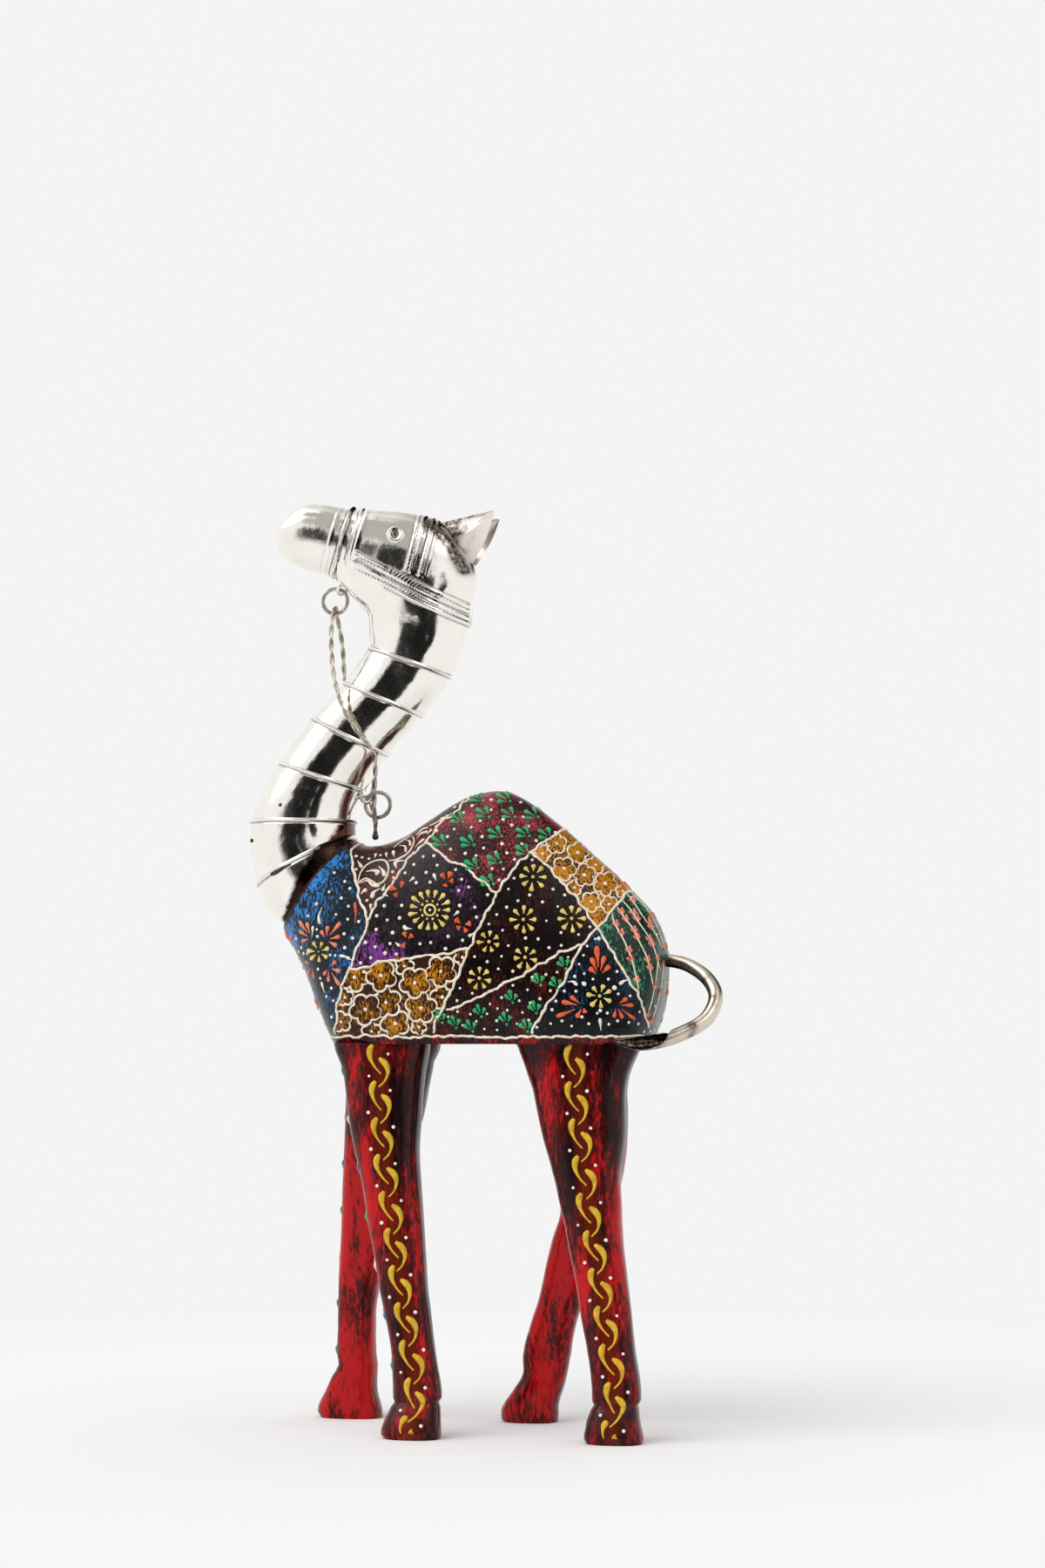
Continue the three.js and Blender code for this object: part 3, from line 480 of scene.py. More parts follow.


# Matt paint rubbed back by hand: a dark ground with a second colour left in fine streaks that follow the
# brush, and a semi-gloss lacquer over both. The streaks are about 0.4 mm wide and 1.5 mm long, and the
# attribute says where more or less of the second colour was left. At the top of the hump it also lightens
# the pink paint as a painted highlight.
def rubbed_paint(name, ground, streak, cover, tilt=0.5, second=None, grain=1300.0):
    material, tree, shader = start_material(name)
    place = add_node(tree, "TexCoord").outputs["Object"]
    brushed = add_node(tree, "Mapping", {"Vector": place, "Rotation": (0, tilt, 0), "Scale": (1.0, 1.0, 0.4)})
    streaks = add_node(
        tree, "TexNoise", {"Vector": brushed.outputs[0], "Scale": grain, "Detail": 3.0, "Roughness": 0.65},
    )
    clouds = add_node(tree, "TexNoise", {"Vector": place, "Scale": 110.0, "Detail": 2.0})
    left = add_node(tree, "Attribute", attribute_name="left_paint_and_highlight")
    together = add_node(
        tree, "Math", {0: clouds.outputs[0], 1: 0.45, 2: streaks.outputs[0]}, operation="MULTIPLY_ADD",
    )
    together = add_node(
        tree, "Math", {0: left.outputs["Fac"], 1: 0.05, 2: together.outputs[0]}, operation="MULTIPLY_ADD",
    )
    middle = 0.86 - 0.26 * cover
    shows = add_node(
        tree, "MapRange",
        {"Value": together.outputs[0], "From Min": middle - 0.06, "From Max": middle + 0.06},
    )
    mixed = add_node(
        tree, "MixRGB", {"Fac": shows.outputs[0], "Color1": colour(ground), "Color2": colour(streak)},
    )
    if second:
        some = add_node(tree, "MapRange", {"Value": left.outputs["Fac"], "From Min": 0.2, "From Max": 0.7})
        both = add_node(tree, "Math", {0: some.outputs[0], 1: shows.outputs[0]}, operation="MULTIPLY")
        mixed = add_node(
            tree, "MixRGB", {"Fac": both.outputs[0], "Color1": mixed.outputs[0], "Color2": colour(second)},
        )
    tree.links.new(mixed.outputs[0], shader.inputs["Base Color"])
    gloss = add_node(tree, "MapRange", {"Value": streaks.outputs[0], "To Min": 0.12, "To Max": 0.3})
    tree.links.new(gloss.outputs[0], shader.inputs["Roughness"])
    shader.inputs["Specular IOR Level"].default_value = 0.2
    bump = add_node(tree, "Bump", {"Height": streaks.outputs[0], "Strength": 0.5, "Distance": 0.0003})
    tree.links.new(bump.outputs[0], shader.inputs["Normal"])
    return material


PAINTS = {
    "blue": rubbed_paint(
        "lacquered_blue_over_black_paint", "#1B1F24", "#2A6CA6", 0.1, tilt=-0.6, second="#2A86D4",
    ),
    "maroon": rubbed_paint("lacquered_maroon_paint", "#1F0E10", "#6A231B", 0.35),
    "pink": rubbed_paint("lacquered_pink_over_maroon_paint", "#1E090C", "#B8404C", 0.15, grain=2300.0),
    "plum": rubbed_paint("lacquered_plum_paint", "#0F070B", "#33202E", 0.2, second="#7E3B8C"),
    "amber": rubbed_paint(
        "lacquered_amber_over_brown_paint", "#321509", "#C8820F", 0.25, tilt=0.2, grain=1700.0,
    ),
    "black": rubbed_paint("lacquered_brown_black_paint", "#0D0404", "#3E150E", 0.2),
    "teal": rubbed_paint("lacquered_teal_paint", "#14241F", "#35A276", 0.12, tilt=0.9, grain=1500.0),
    "navy": rubbed_paint("lacquered_navy_paint", "#090A0D", "#1E4A74", 0.0, grain=1500.0),
    "russet": rubbed_paint("lacquered_russet_paint", "#120606", "#5A160E", 0.15),
    "belly": rubbed_paint("lacquered_red_over_black_belly_paint", "#1E090B", "#A3141A", 0.4),
}

# Dark paint smeared on the wood along the foot of the neck, between the metal and the blue
SMEAR = [
    (250, 900), (410, 900), (402, 966), (390, 979), (375, 992), (361, 1007), (349, 1025), (339, 1044),
    (330, 1062), (250, 1062),
]

# Where more of the second colour was left, with a painted highlight on the top of the hump: pixel, reach
# in pixels, and how much more
LEFT_PAINT_AND_HIGHLIGHT = {
    "blue": [
        (335, 1066, 13, 2.7), (341, 1045, 13, 2.7), (349, 1026, 13, 2.7), (358, 1012, 13, 2.7),
        (369, 999, 13, 2.7), (382, 988, 13, 2.7), (394, 979, 12, 2.4), (400, 992, 12, 1.0),
        (337, 1080, 14, 2.4), (352, 1045, 18, 0.8), (366, 1020, 18, 0.5), (384, 1008, 18, 0.6),
        (401, 1062, 18, 0.4), (404, 1030, 18, 0.3),
    ],
    # Pink: more on the top of the hump, a painted highlight where the light falls from above
    "pink": [
        (562, 917, 14, 2.4), (539, 938, 10, 1.6), (512, 951, 9, 1.2), (556, 1000, 20, 0.6),
        (580, 935, 22, 0.3), (549, 950, 8, 0.8), (575, 1012, 16, 0.8), (604, 938, 12, 0.4),
    ],
    "plum": [
        (423, 1088, 13, 1.7), (436, 1096, 13, 1.9), (449, 1099, 11, 1.6), (414, 1098, 9, 1.2),
        (460, 1090, 12, 0.6), (530, 1018, 16, 0.7), (524, 1004, 12, 0.6), (542, 1040, 12, 0.6),
        (548, 1056, 9, 0.6), (428, 1076, 8, 1.2),
    ],
    "navy": [
        (689, 1082, 14, 0.9), (674, 1106, 14, 0.7), (709, 1118, 14, 0.6), (664, 1140, 14, 0.7),
        (700, 1098, 10, 0.6),
    ],
    "teal": [
        (700, 1068, 12, 0.9), (706, 1080, 12, 0.9), (716, 1066, 10, 0.8), (721, 1082, 10, 0.8),
        (735, 1094, 11, 0.9), (734, 1108, 11, 0.8), (725, 1050, 10, 0.8), (739, 1072, 10, 0.7),
        (750, 1064, 10, 0.8), (716, 1036, 8, 0.7),
    ],
}

# The flowers of the amber patches: their middles and sizes in pixels, in the order that they are drawn
AMBER_FLOWERS = [
    (437.5, 1120, 18), (407, 1122, 17), (476.3, 1128.3, 18), (506.3, 1115, 18), (419.7, 1158.7, 19),
    (443.3, 1150.8, 18), (483.7, 1157.2, 18), (508, 1144.7, 14), (454, 1175, 17), (392, 1173, 12),
    (426.7, 1184, 11), (464.7, 1109, 11), (396, 1145, 10), (531, 1099, 10), (481, 1179, 9),
]
RUMP_FLOWERS = [
    (648, 997, 14), (623, 980, 10), (639, 968.6, 12), (663.4, 979, 13), (671, 1004.6, 13), (695, 1014.4, 14),
    (679, 1035, 12), (699.4, 1038, 10), (684, 993, 11), (660, 1019, 9), (715, 1023, 8),
]
LEFT_PAINT_AND_HIGHLIGHT["amber"] = [(x, y, size, 2.8) for x, y, size in (*AMBER_FLOWERS, *RUMP_FLOWERS)]

body_stations = np.arange(0, len(TORSO) - 1 + 1e-6, BODY_STEP)
grid, out = skin_grid(TORSO, body_stations, BODY_ROUND)
body_points = grid.reshape(-1, 3)
body_out = out.reshape(-1, 3)
body_points = body_points + body_out * np.array([[waves(p, 9.0, 0.22)] for p in body_points])
body_faces = loft_faces(len(body_stations), BODY_ROUND)
carved = bmesh.new()
corners = [carved.verts.new(p) for p in body_points]
for face in body_faces:
    carved.faces.new([corners[i] for i in face])
cut = bmesh.ops.bisect_plane(
    carved, geom=[*carved.verts, *carved.edges, *carved.faces], plane_co=(0, 0, BELLY_Z), plane_no=(0, 0, 1),
    clear_inner=True,
)
rim = [e for e in cut["geom_cut"] if isinstance(e, bmesh.types.BMEdge)]
bmesh.ops.edgeloop_fill(carved, edges=rim)
carved.verts.index_update()
body_points = np.array([v.co for v in carved.verts])
body_faces = [tuple(v.index for v in f.verts) for f in carved.faces]
carved.free()
body_surface = BVHTree.FromPolygons([Vector(p) for p in body_points], body_faces)

centres = np.array([body_points[list(f)].mean(axis=0) for f in body_faces])
flat = np.abs(centres[:, 2] - BELLY_Z) < 0.01
spots = pixels_of(on_near_side(centres))
paint_names = list(PAINTS)
paint_of = np.full(len(centres), paint_names.index("black"))
taken = np.zeros(len(centres), bool)
for name, polygon in PATCHES:
    here = inside(polygon, spots) & ~taken
    paint_of[here] = paint_names.index(name)
    taken |= here
paint_of[inside(SMEAR, spots)] = paint_names.index("black")
below = np.interp(spots[:, 0], *zip(*SEAMS["edge"])) + 0.5
paint_of[((spots[:, 1] > below) & (centres[:, 2] < 135)) | flat] = paint_names.index("belly")
body = make_piece(
    "carved_body", body_points, body_faces, [PAINTS[name] for name in paint_names], "painted_wood",
    stands_for=["body_block"],
)
body.data.polygons.foreach_set("material_index", paint_of.astype(np.int32))
spots = pixels_of(on_near_side(body_points))
left_paint_and_highlight = np.zeros(len(spots))
gained = np.zeros(len(spots))
left_paint_and_highlight[inside(AMBER_PATCH, spots)] = -1.6
left_paint_and_highlight[inside(RUMP_PATCH, spots)] = 0.5
# More of the second colour where the blobs say; on the top of the hump this is a painted highlight
for x, y, reach, more in [blob for blobs in LEFT_PAINT_AND_HIGHLIGHT.values() for blob in blobs]:
    far = np.hypot(spots[:, 0] - x, spots[:, 1] - y) / reach
    gained = np.maximum(gained, more * np.clip(1.25 - far, 0, 1))
left_paint_and_highlight += gained
body.data.attributes.new("left_paint_and_highlight", "FLOAT", "POINT").data.foreach_set(
    "value", left_paint_and_highlight.astype(np.float32),
)

# Raised paint on the body
# Thick paint is squeezed from a cone over the dry patches: wavy cream lines over the seams, and dots,
# drops, flowers and sprigs between them. It dries to glossy beads about 0.5 mm high. Both sides have it.
RAISED_COLOURS = {
    "cream": ("dried_cream_cone_paint", "#F6ECDB", "#E0CFB0"),
    "white": ("dried_white_cone_paint", "#FBF6EE", "#E8DFCF"),
    "yellow": ("dried_yellow_cone_paint", "#EEDD80", "#D3AE3C"),
    "coral": ("dried_coral_cone_paint", "#EE6633", "#D14A1E"),
    "salmon": ("dried_salmon_cone_paint", "#EF8A6C", "#D86A4A"),
    "green": ("dried_green_cone_paint", "#25B56C", "#16894F"),
    "gold": ("dried_golden_cone_paint", "#DDB41E", "#BD8E10"),
    "sky": ("dried_blue_cone_paint", "#5C8FB8", "#3C6C96"),
}
BEAD_SIDES = 8
raised_paint = {name: ([], []) for name in RAISED_COLOURS}
chance = random.Random(7)


def struck(surface, start, way):
    """Where a ray meets a surface, with the direction back out of it, or None."""
    point, normal, _, _ = surface.ray_cast(start, way)
    if point is None:
        return None
    return point, normal if normal.dot(way) < 0 else -normal


def seen(surface, spot):
    """The point of a surface that shows at a pixel of the photograph, with the direction out of it."""
    across, down = spot
    way = ahead * FOCAL_PIXELS + rightward * (across - PHOTO_CENTRE[0]) - upward * (down - PHOTO_CENTRE[1])
    return struck(surface, CAMERA_PLACE, way.normalized())


def carried_over(surface, point, normal):
    """Points that carry a line on from the edge of what shows to the middle plane of the camel."""
    way = Vector((-normal.x, 0, -normal.z)).normalized()
    line = []
    for k in range(1, 41):
        y = point.y * (1 - k / 40)
        hit = struck(surface, Vector((point.x, y, point.z)) - way * 30, way)
        if hit is None:
            break
        line.append(hit)
    return line


def shown(surface, spots, over):
    """The points of a surface that show at pixels, carried over the ends of the line where over says."""
    line = [seen(surface, spot) for spot in spots]
    line = [hit for hit in line if hit and hit[0].y < 0]
    if over[0] and line:
        line = carried_over(surface, *line[0])[::-1] + line
    if over[1] and line:
        line = line + carried_over(surface, *line[-1])
    return line


def on_surface(surface, spots, step=1.4, over=(False, False)):
    """The line on a surface that shows along pixels of the photograph, as points with directions."""
    return shown(surface, through(spots, step), over)


def lay(kind, rings, mirror=True):
    """Keeps a closed bead of paint, and its mirror image on the other side of the camel."""
    points, faces = raised_paint[kind]
    for side in (1, -1) if mirror else (1,):
        faces += loft_faces(len(rings), len(rings[0]), first=len(points))
        points += [point * (1, side, 1) for ring in rings for point in ring]


def squeezed(kind, line, radii, mirror=True):
    """A bead of paint along a line on a surface, half sunk in it, with a radius for each point."""
    if len(line) < 3:
        return
    points = np.array([p for p, _ in line])
    out = np.array([n for _, n in line])
    along = unit_rows(np.gradient(points, axis=0))
    side = unit_rows(np.cross(out, along))
    radii = np.interp(np.linspace(0, 1, len(line)), np.linspace(0, 1, len(radii)), radii)[:, None]
    turns = math.tau * np.arange(BEAD_SIDES) / BEAD_SIDES
    rings = [points + radii * (side * math.cos(t) + 0.85 * out * math.sin(t)) for t in turns]
    lay(kind, list(np.stack(rings, 1)), mirror)


def wavy_seam(kind, surface, spots, radius=0.42, over=(False, False)):
    """A long hand-squeezed line: it wanders a little and swells where the hand slows down."""
    seed = chance.uniform(0, 100)
    smooth = through(spots, 1.3)
    wander = np.array(
        [
            [
                noise.noise((seed, k * 0.13, lane)) + 0.2 * noise.noise((seed, k * 0.4, lane))
                for lane in (0, 9)
            ]
            for k in range(len(smooth))
        ]
    )
    ends = np.minimum(1, np.minimum(np.arange(len(smooth)), np.arange(len(smooth))[::-1]) / 4)[:, None]
    line = shown(surface, smooth + 2.8 * wander * ends, over)
    radii = [radius * (1 + 0.5 * noise.noise((seed, k * 0.3, 4))) for k in range(len(line))]
    squeezed(kind, line, [0.2, *radii, 0.2])


def dot(kind, hit, radius, mirror=True):
    """A drop of paint that has settled to a dome."""
    point, out = (np.array(x) for x in hit)
    side = unit_rows(np.cross(out, (0.3, 0.2, 0.9)))
    other = np.cross(out, side)
    rings = []
    for height, share in ((-0.3, 0.9), (0.15, 1.0), (0.5, 0.78), (0.72, 0.3)):
        turns = math.tau * np.arange(BEAD_SIDES) / BEAD_SIDES
        ring = [side * math.cos(t) + other * math.sin(t) for t in turns]
        rings.append([point + out * height * radius + w * radius * share for w in ring])
    lay(kind, rings, mirror)


LEAF_SHAPE = [0.2, 0.24, 0.3, 0.4, 0.56, 0.76, 0.93, 1.0, 0.93, 0.55]


def drop(kind, surface, spots, thick):
    """A stroke that starts thin and ends in a thick round head."""
    squeezed(kind, on_surface(surface, spots, 0.9), [thick * share for share in LEAF_SHAPE])


def ray_spot(centre, degrees, length):
    """The pixel at a distance from another, at an angle from rightward, counted up from the level."""
    angle = math.radians(degrees)
    return (centre[0] + length * math.cos(angle), centre[1] - length * math.sin(angle))


def flower(centre, petals, inner, outer, thick, start=90.0, middle=0.72):
    for k in range(petals):
        turned = start + 360 * k / petals + chance.uniform(-5, 5)
        reach = outer * chance.uniform(0.9, 1.08)
        spots = [ray_spot(centre, turned, inner), ray_spot(centre, turned, reach)]
        drop("yellow", body_surface, spots, thick * chance.uniform(0.88, 1.1))
    dot("yellow", seen(body_surface, centre), middle)


def palmette(kind, base, heads, thick):
    """Leaves that spread from one point, each drawn from near that point to the far end of its head."""
    for x, y in heads:
        start = (base[0] + 0.3 * (x - base[0]), base[1] + 0.3 * (y - base[1]))
        drop(kind, body_surface, [start, (x, y)], thick * chance.uniform(0.9, 1.1))


def sprig(base, turned=0.0, size=1.0):
    """Three green leaves and a dot at their foot."""
    leaves = ((180, 16.5), (151, 19.5), (112, 14.0))
    heads = [ray_spot(base, angle + turned, size * reach) for angle, reach in leaves]
    palmette("green", base, heads, 0.86 * (0.4 + 0.6 * size))
    hit = seen(body_surface, base)
    if hit:
        dot("green", hit, 0.62 * size)


def dots(kind, spots, radius, surface=None):
    for spot in spots:
        hit = seen(surface or body_surface, spot)
        if hit and hit[0].y < 0:
            dot(kind, hit, radius * chance.uniform(0.85, 1.15))


def white_dots(polygon, spacing, avoid, radius=0.58, tries=1400):
    """White dots scattered over a patch, clear of its edges and of what is painted there."""
    low, high = np.min(polygon, axis=0), np.max(polygon, axis=0)
    edge = through([*polygon, polygon[0]], 3.0)
    placed = []
    for _ in range(tries):
        spot = (chance.uniform(low[0], high[0]), chance.uniform(low[1], high[1]))
        if not inside(polygon, np.array([spot]))[0] or np.hypot(*(edge - spot).T).min() < 5.5:
            continue
        if any(math.dist(spot, (x, y)) < reach for x, y, reach in avoid):
            continue
        if all(math.dist(spot, other) > spacing for other in placed):
            placed.append(spot)
    dots("white", placed, radius)


for name, over in {
    "A": (True, False), "B": (False, True), "D": (False, False), "E": (False, True), "F": (False, False),
    "G": (False, False), "H": (False, False), "K": (False, False), "M": (False, True), "I": (False, False),
    "N": (False, False), "edge": (False, False),
}.items():
    wavy_seam("cream", body_surface, SEAMS[name], over=over)

# Hump: green sprigs in rows
HUMP_SPRIGS = [
    (555, 919.5), (586, 920), (618, 938), (532, 944), (562, 938), (591, 938), (576, 960), (608, 960),
    (633, 962), (544.5, 970), (511.5, 970), (607, 981), (575, 990), (549, 996.5), (567, 1015),
]
for base in HUMP_SPRIGS:
    sprig(base, chance.uniform(-6, 6), 0.9)
white_dots(
    [
        (474, 962), (538, 905), (560, 900), (600, 905), (645, 955), *SEAMS["E"][::-1][1:],
        *SEAMS["D"][::-1][1:],
    ],
    11, [(x - 7 * k, y - 4 * k, 7.5) for x, y in HUMP_SPRIGS for k in (0, 1, 2)],
)

# Plum patch: one large flower in a ring of dots, with coral buds round it
LARGE_FLOWER = (493.7, 1044.7)
ring = [ray_spot(LARGE_FLOWER, 18 * k, 6.2) for k in range(21)]
squeezed("yellow", on_surface(body_surface, ring, 0.9), [0.34, 0.38, 0.38, 0.34])
dots("white", [LARGE_FLOWER], 0.5)
dots("yellow", [ray_spot(LARGE_FLOWER, 36 * k, 10.6) for k in range(10)], 0.42)
for k in range(15):
    spots = [ray_spot(LARGE_FLOWER, 24 * k, 14.5), ray_spot(LARGE_FLOWER, 24 * k, chance.uniform(23, 25.5))]
    drop("yellow", body_surface, spots, 0.8)
PLUM_BUDS = [
    ((513, 1012), [(507, 1003), (518, 1001), (521, 1011), (511, 1018)]),
    ((459, 1022), [(448, 1019), (453, 1029), (463, 1012)]),
    ((531, 1062), [(523, 1055), (541, 1060), (536, 1070), (525, 1066)]),
    ((467, 1079), [(464, 1070), (474, 1073), (462, 1088)]),
]
for base, heads in PLUM_BUDS:
    palmette("coral", base, heads, 1.0)
for spots in (
    [(501, 1011), (498, 1003)], [(446, 1029), (440, 1026)], [(470, 1012), (476, 1007)],
    [(521, 1051), (527, 1046)], [(473, 1066), (464, 1066)], [(454, 1082), (459, 1086)],
    [(544, 1071), (538, 1075)],
):
    drop("white", body_surface, spots, 0.6)
white_dots(PLUM_PATCH, 11.5, [(*LARGE_FLOWER, 31), *((*base, 15) for base, _ in PLUM_BUDS)], 0.62)

# Black patch: small yellow flowers
SMALL_FLOWERS = [(612, 1006.6), (601, 1055.6), (656.6, 1054.4), (561.6, 1081), (603, 1099), (550.4, 1123)]
for centre in SMALL_FLOWERS:
    size = 15.5 if centre[1] < 1070 else 13.5
    flower(centre, 8 if centre[1] < 1070 else 7, 0.44 * size, size, 0.78, chance.uniform(80, 100), 0.6)
white_dots(BLACK_PATCH, 14, [(x, y, 19) for x, y in SMALL_FLOWERS], 0.5)

# Navy patch: a palmette over a flower, with a palmette on each side
palmette("coral", (688, 1121), [(677, 1111), (679, 1099.5), (685, 1086), (694, 1097.5), (700, 1108.5)], 0.9)
palmette("coral", (670, 1155), [(655, 1143.5), (645, 1150), (639, 1167), (662, 1168), (672, 1163)], 0.8)
palmette("coral", (708, 1154), [(720, 1146), (727, 1154), (729, 1170), (715, 1169), (705, 1168)], 0.68)
flower((688.7, 1143.4), 7, 5, 14.5, 0.78, 75, 0.6)
for spots in (
    [(690, 1183), (689, 1169)], [(652, 1127), (658, 1127), (663, 1131)],
    [(723, 1125), (717, 1126), (711, 1130)],
):
    drop("white", body_surface, spots, 0.6)
dots("white", [(671, 1129.5), (705.5, 1134), (689.3, 1160), (687.5, 1077.5)], 0.72)
white_dots(
    [*SEAMS["I"], *SEAMS["N"][::-1]], 10.5,
    [
        (688, 1104, 19), (689, 1143, 20), (655, 1156, 17), (717, 1157, 15), (689, 1174, 9), (656, 1128, 8),
        (718, 1127, 8),
    ],
    0.5,
)

# Russet patch: green sprigs
LOW_SPRIGS = [
    (650, 1112), (621, 1131), (641, 1135), (589, 1151), (616, 1163), (553, 1167), (582, 1176), (606, 1184),
    (524, 1180), (543, 1184), (508, 1174),
]
for base in LOW_SPRIGS:
    sprig(base, chance.uniform(-46, -34), 0.78)
white_dots(
    [*SEAMS["F"][-3:], (498, 1187), (610, 1187), *SEAMS["I"][::-1][1:], *SEAMS["H"][::-1]], 10,
    [(x - 3 * k, y - 6 * k, 7) for x, y in LOW_SPRIGS for k in (0, 1)], 0.48,
)


# Amber patches: flowers with five lobes that fill the patch, each outlined up to the ones before it
def outlined_flowers(centres, polygon, thick):
    edge = through([*polygon, polygon[0]], 3.0)
    done = []
    for x, y, size in centres:
        start = chance.uniform(0, 72)
        stretch = [chance.uniform(0.88, 1.12) for _ in range(5)]
        kept = [[]]
        for k in range(121):
            lobe = (3 * k - start) / 72
            bulge = abs(math.sin(math.pi * lobe)) ** 0.6
            spot = ray_spot((x, y), 3 * k, size * (0.66 + 0.34 * bulge * stretch[int(lobe) % 5]))
            clear = all(math.dist(spot, (a, b)) > 0.9 * c for a, b, c in done)
            if clear and inside(polygon, np.array([spot]))[0] and np.hypot(*(edge - spot).T).min() > 1.2:
                kept[-1].append(spot)
            elif kept[-1]:
                kept.append([])
        for run in kept:
            if len(run) > 3:
                squeezed(
                    "cream", on_surface(body_surface, run, 1.0),
                    [0.3 * thick, thick, 0.85 * thick, thick, 0.3 * thick],
                )
        done.append((x, y, size))
        dots("white", [(x, y)], 0.62 if size > 12 else 0.5)


outlined_flowers(AMBER_FLOWERS, [*SEAMS["A"][5:], (498, 1188), *SEAMS["F"][:2:-1], *SEAMS["G"][::-1]], 0.4)
outlined_flowers(
    RUMP_FLOWERS,
    [*SEAMS["E"][:2:-1], (610, 978), *SEAMS["K"], *SEAMS["M"], (700, 985), (668, 958), (650, 950)], 0.33,
)

# Teal patch: thin stems with salmon buds
STEMS = [
    [(703, 1049), (705, 1058), (714.6, 1076), (719.7, 1086.6), (726.6, 1105), (730.6, 1123), (733, 1135)],
    [
        (709.4, 1042), (718.6, 1055.6), (726.6, 1066), (733.5, 1079.7), (742.7, 1099), (747.3, 1118.7),
        (749.6, 1130),
    ],
    [(715, 1034), (724.3, 1044.7), (733.5, 1059), (743.8, 1074), (750.7, 1088), (758, 1113)],
    [(720, 1026), (730, 1039.5), (739, 1053), (748.4, 1065), (754, 1075), (760, 1088)],
]
for stem in STEMS:
    squeezed("cream", on_surface(body_surface, stem), [0.26, 0.3, 0.24, 0.3, 0.26])
BUDS = [
    (707, 1061), (713, 1071), (722, 1091), (723.5, 1101), (731, 1125), (713, 1047), (718, 1055), (728, 1068),
    (731, 1076), (743, 1102), (746, 1111), (727, 1048), (731, 1055), (745, 1078), (748, 1084), (726, 1034),
    (744, 1058), (747, 1064),
]
for x, y in BUDS:
    for tip in ((x - 3.6, y - 2.0), (x + 1.2, y - 5.4), (x + 3.4, y - 1.6)):
        drop("salmon", body_surface, [(x + 1.6, y + 4), tip], 0.5)

# Blue patch: a flower between four palmettes, with white strokes and dots to each side
CHEST_FLOWER = (365.8, 1092.5)
flower(CHEST_FLOWER, 7, 4.5, 12.5, 0.74, 70, 0.3)
palmette("salmon", (357, 1077), [(344, 1057.5), (352.5, 1059), (344, 1069), (347, 1080.5)], 0.7)
palmette("salmon", (374, 1079), [(369, 1068.5), (376.5, 1063), (391, 1059), (390.5, 1075), (387, 1086)], 0.74)
palmette("salmon", (377, 1111), [(386, 1103.5), (390.5, 1115), (390, 1131), (372, 1119), (377.5, 1127)], 0.74)
palmette("salmon", (357, 1108), [(351, 1104), (354, 1119), (361, 1123)], 0.5)
for spots in (
    [(369.6, 1041.4), (366, 1052), (367.5, 1061)], [(358.5, 1075), (359.4, 1063)], [(402, 1099), (390, 1097)],
    [(372.6, 1140), (369.3, 1127)], [(404, 1102), (398, 1099)],
):
    drop("white", body_surface, spots, 0.52)
drop("coral", body_surface, [(408, 1060), (408.5, 1048), (407.5, 1036)], 0.55)
dots(
    "white",
    [
        (353.2, 1094.8), (349, 1094.5), (346.3, 1087.9), (340.5, 1077.5), (379.2, 1096.3), (385, 1096.8),
        (364.6, 1075), (364, 1067), (365.4, 1112.6), (368, 1123), (363.6, 1037.5), (400.2, 1040.4),
        (385.9, 1049.8), (353.7, 1051.3), (399.5, 1055.3), (412, 1058), (395.3, 1072), (405, 1077),
        (396, 1088), (380.7, 1134.4), (382.9, 1148.7), (381, 1167.5), (375, 1144), (392, 1031), (378, 1024),
        (396, 1012), (384, 1002), (402, 1020),
    ],
    0.56,
)

# Maroon patch: a leaf scroll, drawn in cream with tapering strokes in it and round it
for spots, thick in (
    (
        [
            (411, 1012), (414, 1002), (421, 993), (432, 988), (442, 988), (446, 995), (445, 1004),
            (440, 1012), (433, 1015), (428, 1012), (421, 1008.5), (416, 1010), (411, 1014),
        ],
        0.36,
    ),
    ([(446, 988), (456, 986.5), (467, 980.5), (473, 973), (475.5, 965), (474, 960.5)], 0.36),
    ([(478, 959), (485.5, 952), (492, 950)], 0.34),
    ([(493, 948), (501, 944.5), (507.5, 940), (515, 935)], 0.34),
    ([(499, 949), (506, 945), (512, 939), (519, 934)], 0.34), ([(452, 973), (461, 966), (472, 959)], 0.26),
):
    squeezed("cream", on_surface(body_surface, spots), [0.2, thick, thick, 0.25])
for spots, thick in (
    ([(420.5, 1000.5), (428, 999.3), (434, 1001), (431.5, 1004.5)], 0.8),
    ([(435, 994.5), (440, 1000), (442, 1006)], 0.8),
    ([(413, 1014), (421.5, 1011), (428, 1016), (436, 1017)], 0.62), ([(442, 1015), (439.4, 1023)], 0.66),
    ([(437, 1019.5), (429.3, 1024.5), (427, 1031)], 0.78),
    ([(414.5, 1026.5), (417.5, 1023), (421.5, 1021)], 0.74), ([(425.3, 1045), (426, 1037.5)], 0.6),
    ([(455.5, 997), (453.5, 991)], 0.6), ([(465.5, 988), (457.5, 988.5), (452, 992)], 0.6),
    ([(410.5, 988), (413.6, 992.5), (415.5, 996)], 0.62), ([(452.5, 983.5), (451.7, 977)], 0.7),
    ([(458, 970.5), (465, 971.5), (466, 978)], 0.5), ([(465, 963.5), (470.5, 966), (471, 971)], 0.5),
    ([(478.5, 963), (483, 957.5), (489, 955)], 0.5), ([(476.5, 972.5), (481, 968), (487.5, 963)], 0.5),
    ([(490, 958), (496, 952)], 0.5), ([(444, 984), (443.5, 979)], 0.55), ([(430, 985), (432, 980)], 0.5),
):
    drop("cream", body_surface, spots, thick)
dots(
    "cream",
    [
        (409, 983), (416, 984.5), (423.8, 986), (421.4, 1033.8), (451, 1001), (452, 1007.5), (475, 979),
        (409, 998), (437, 982), (495, 953),
    ],
    0.55,
)

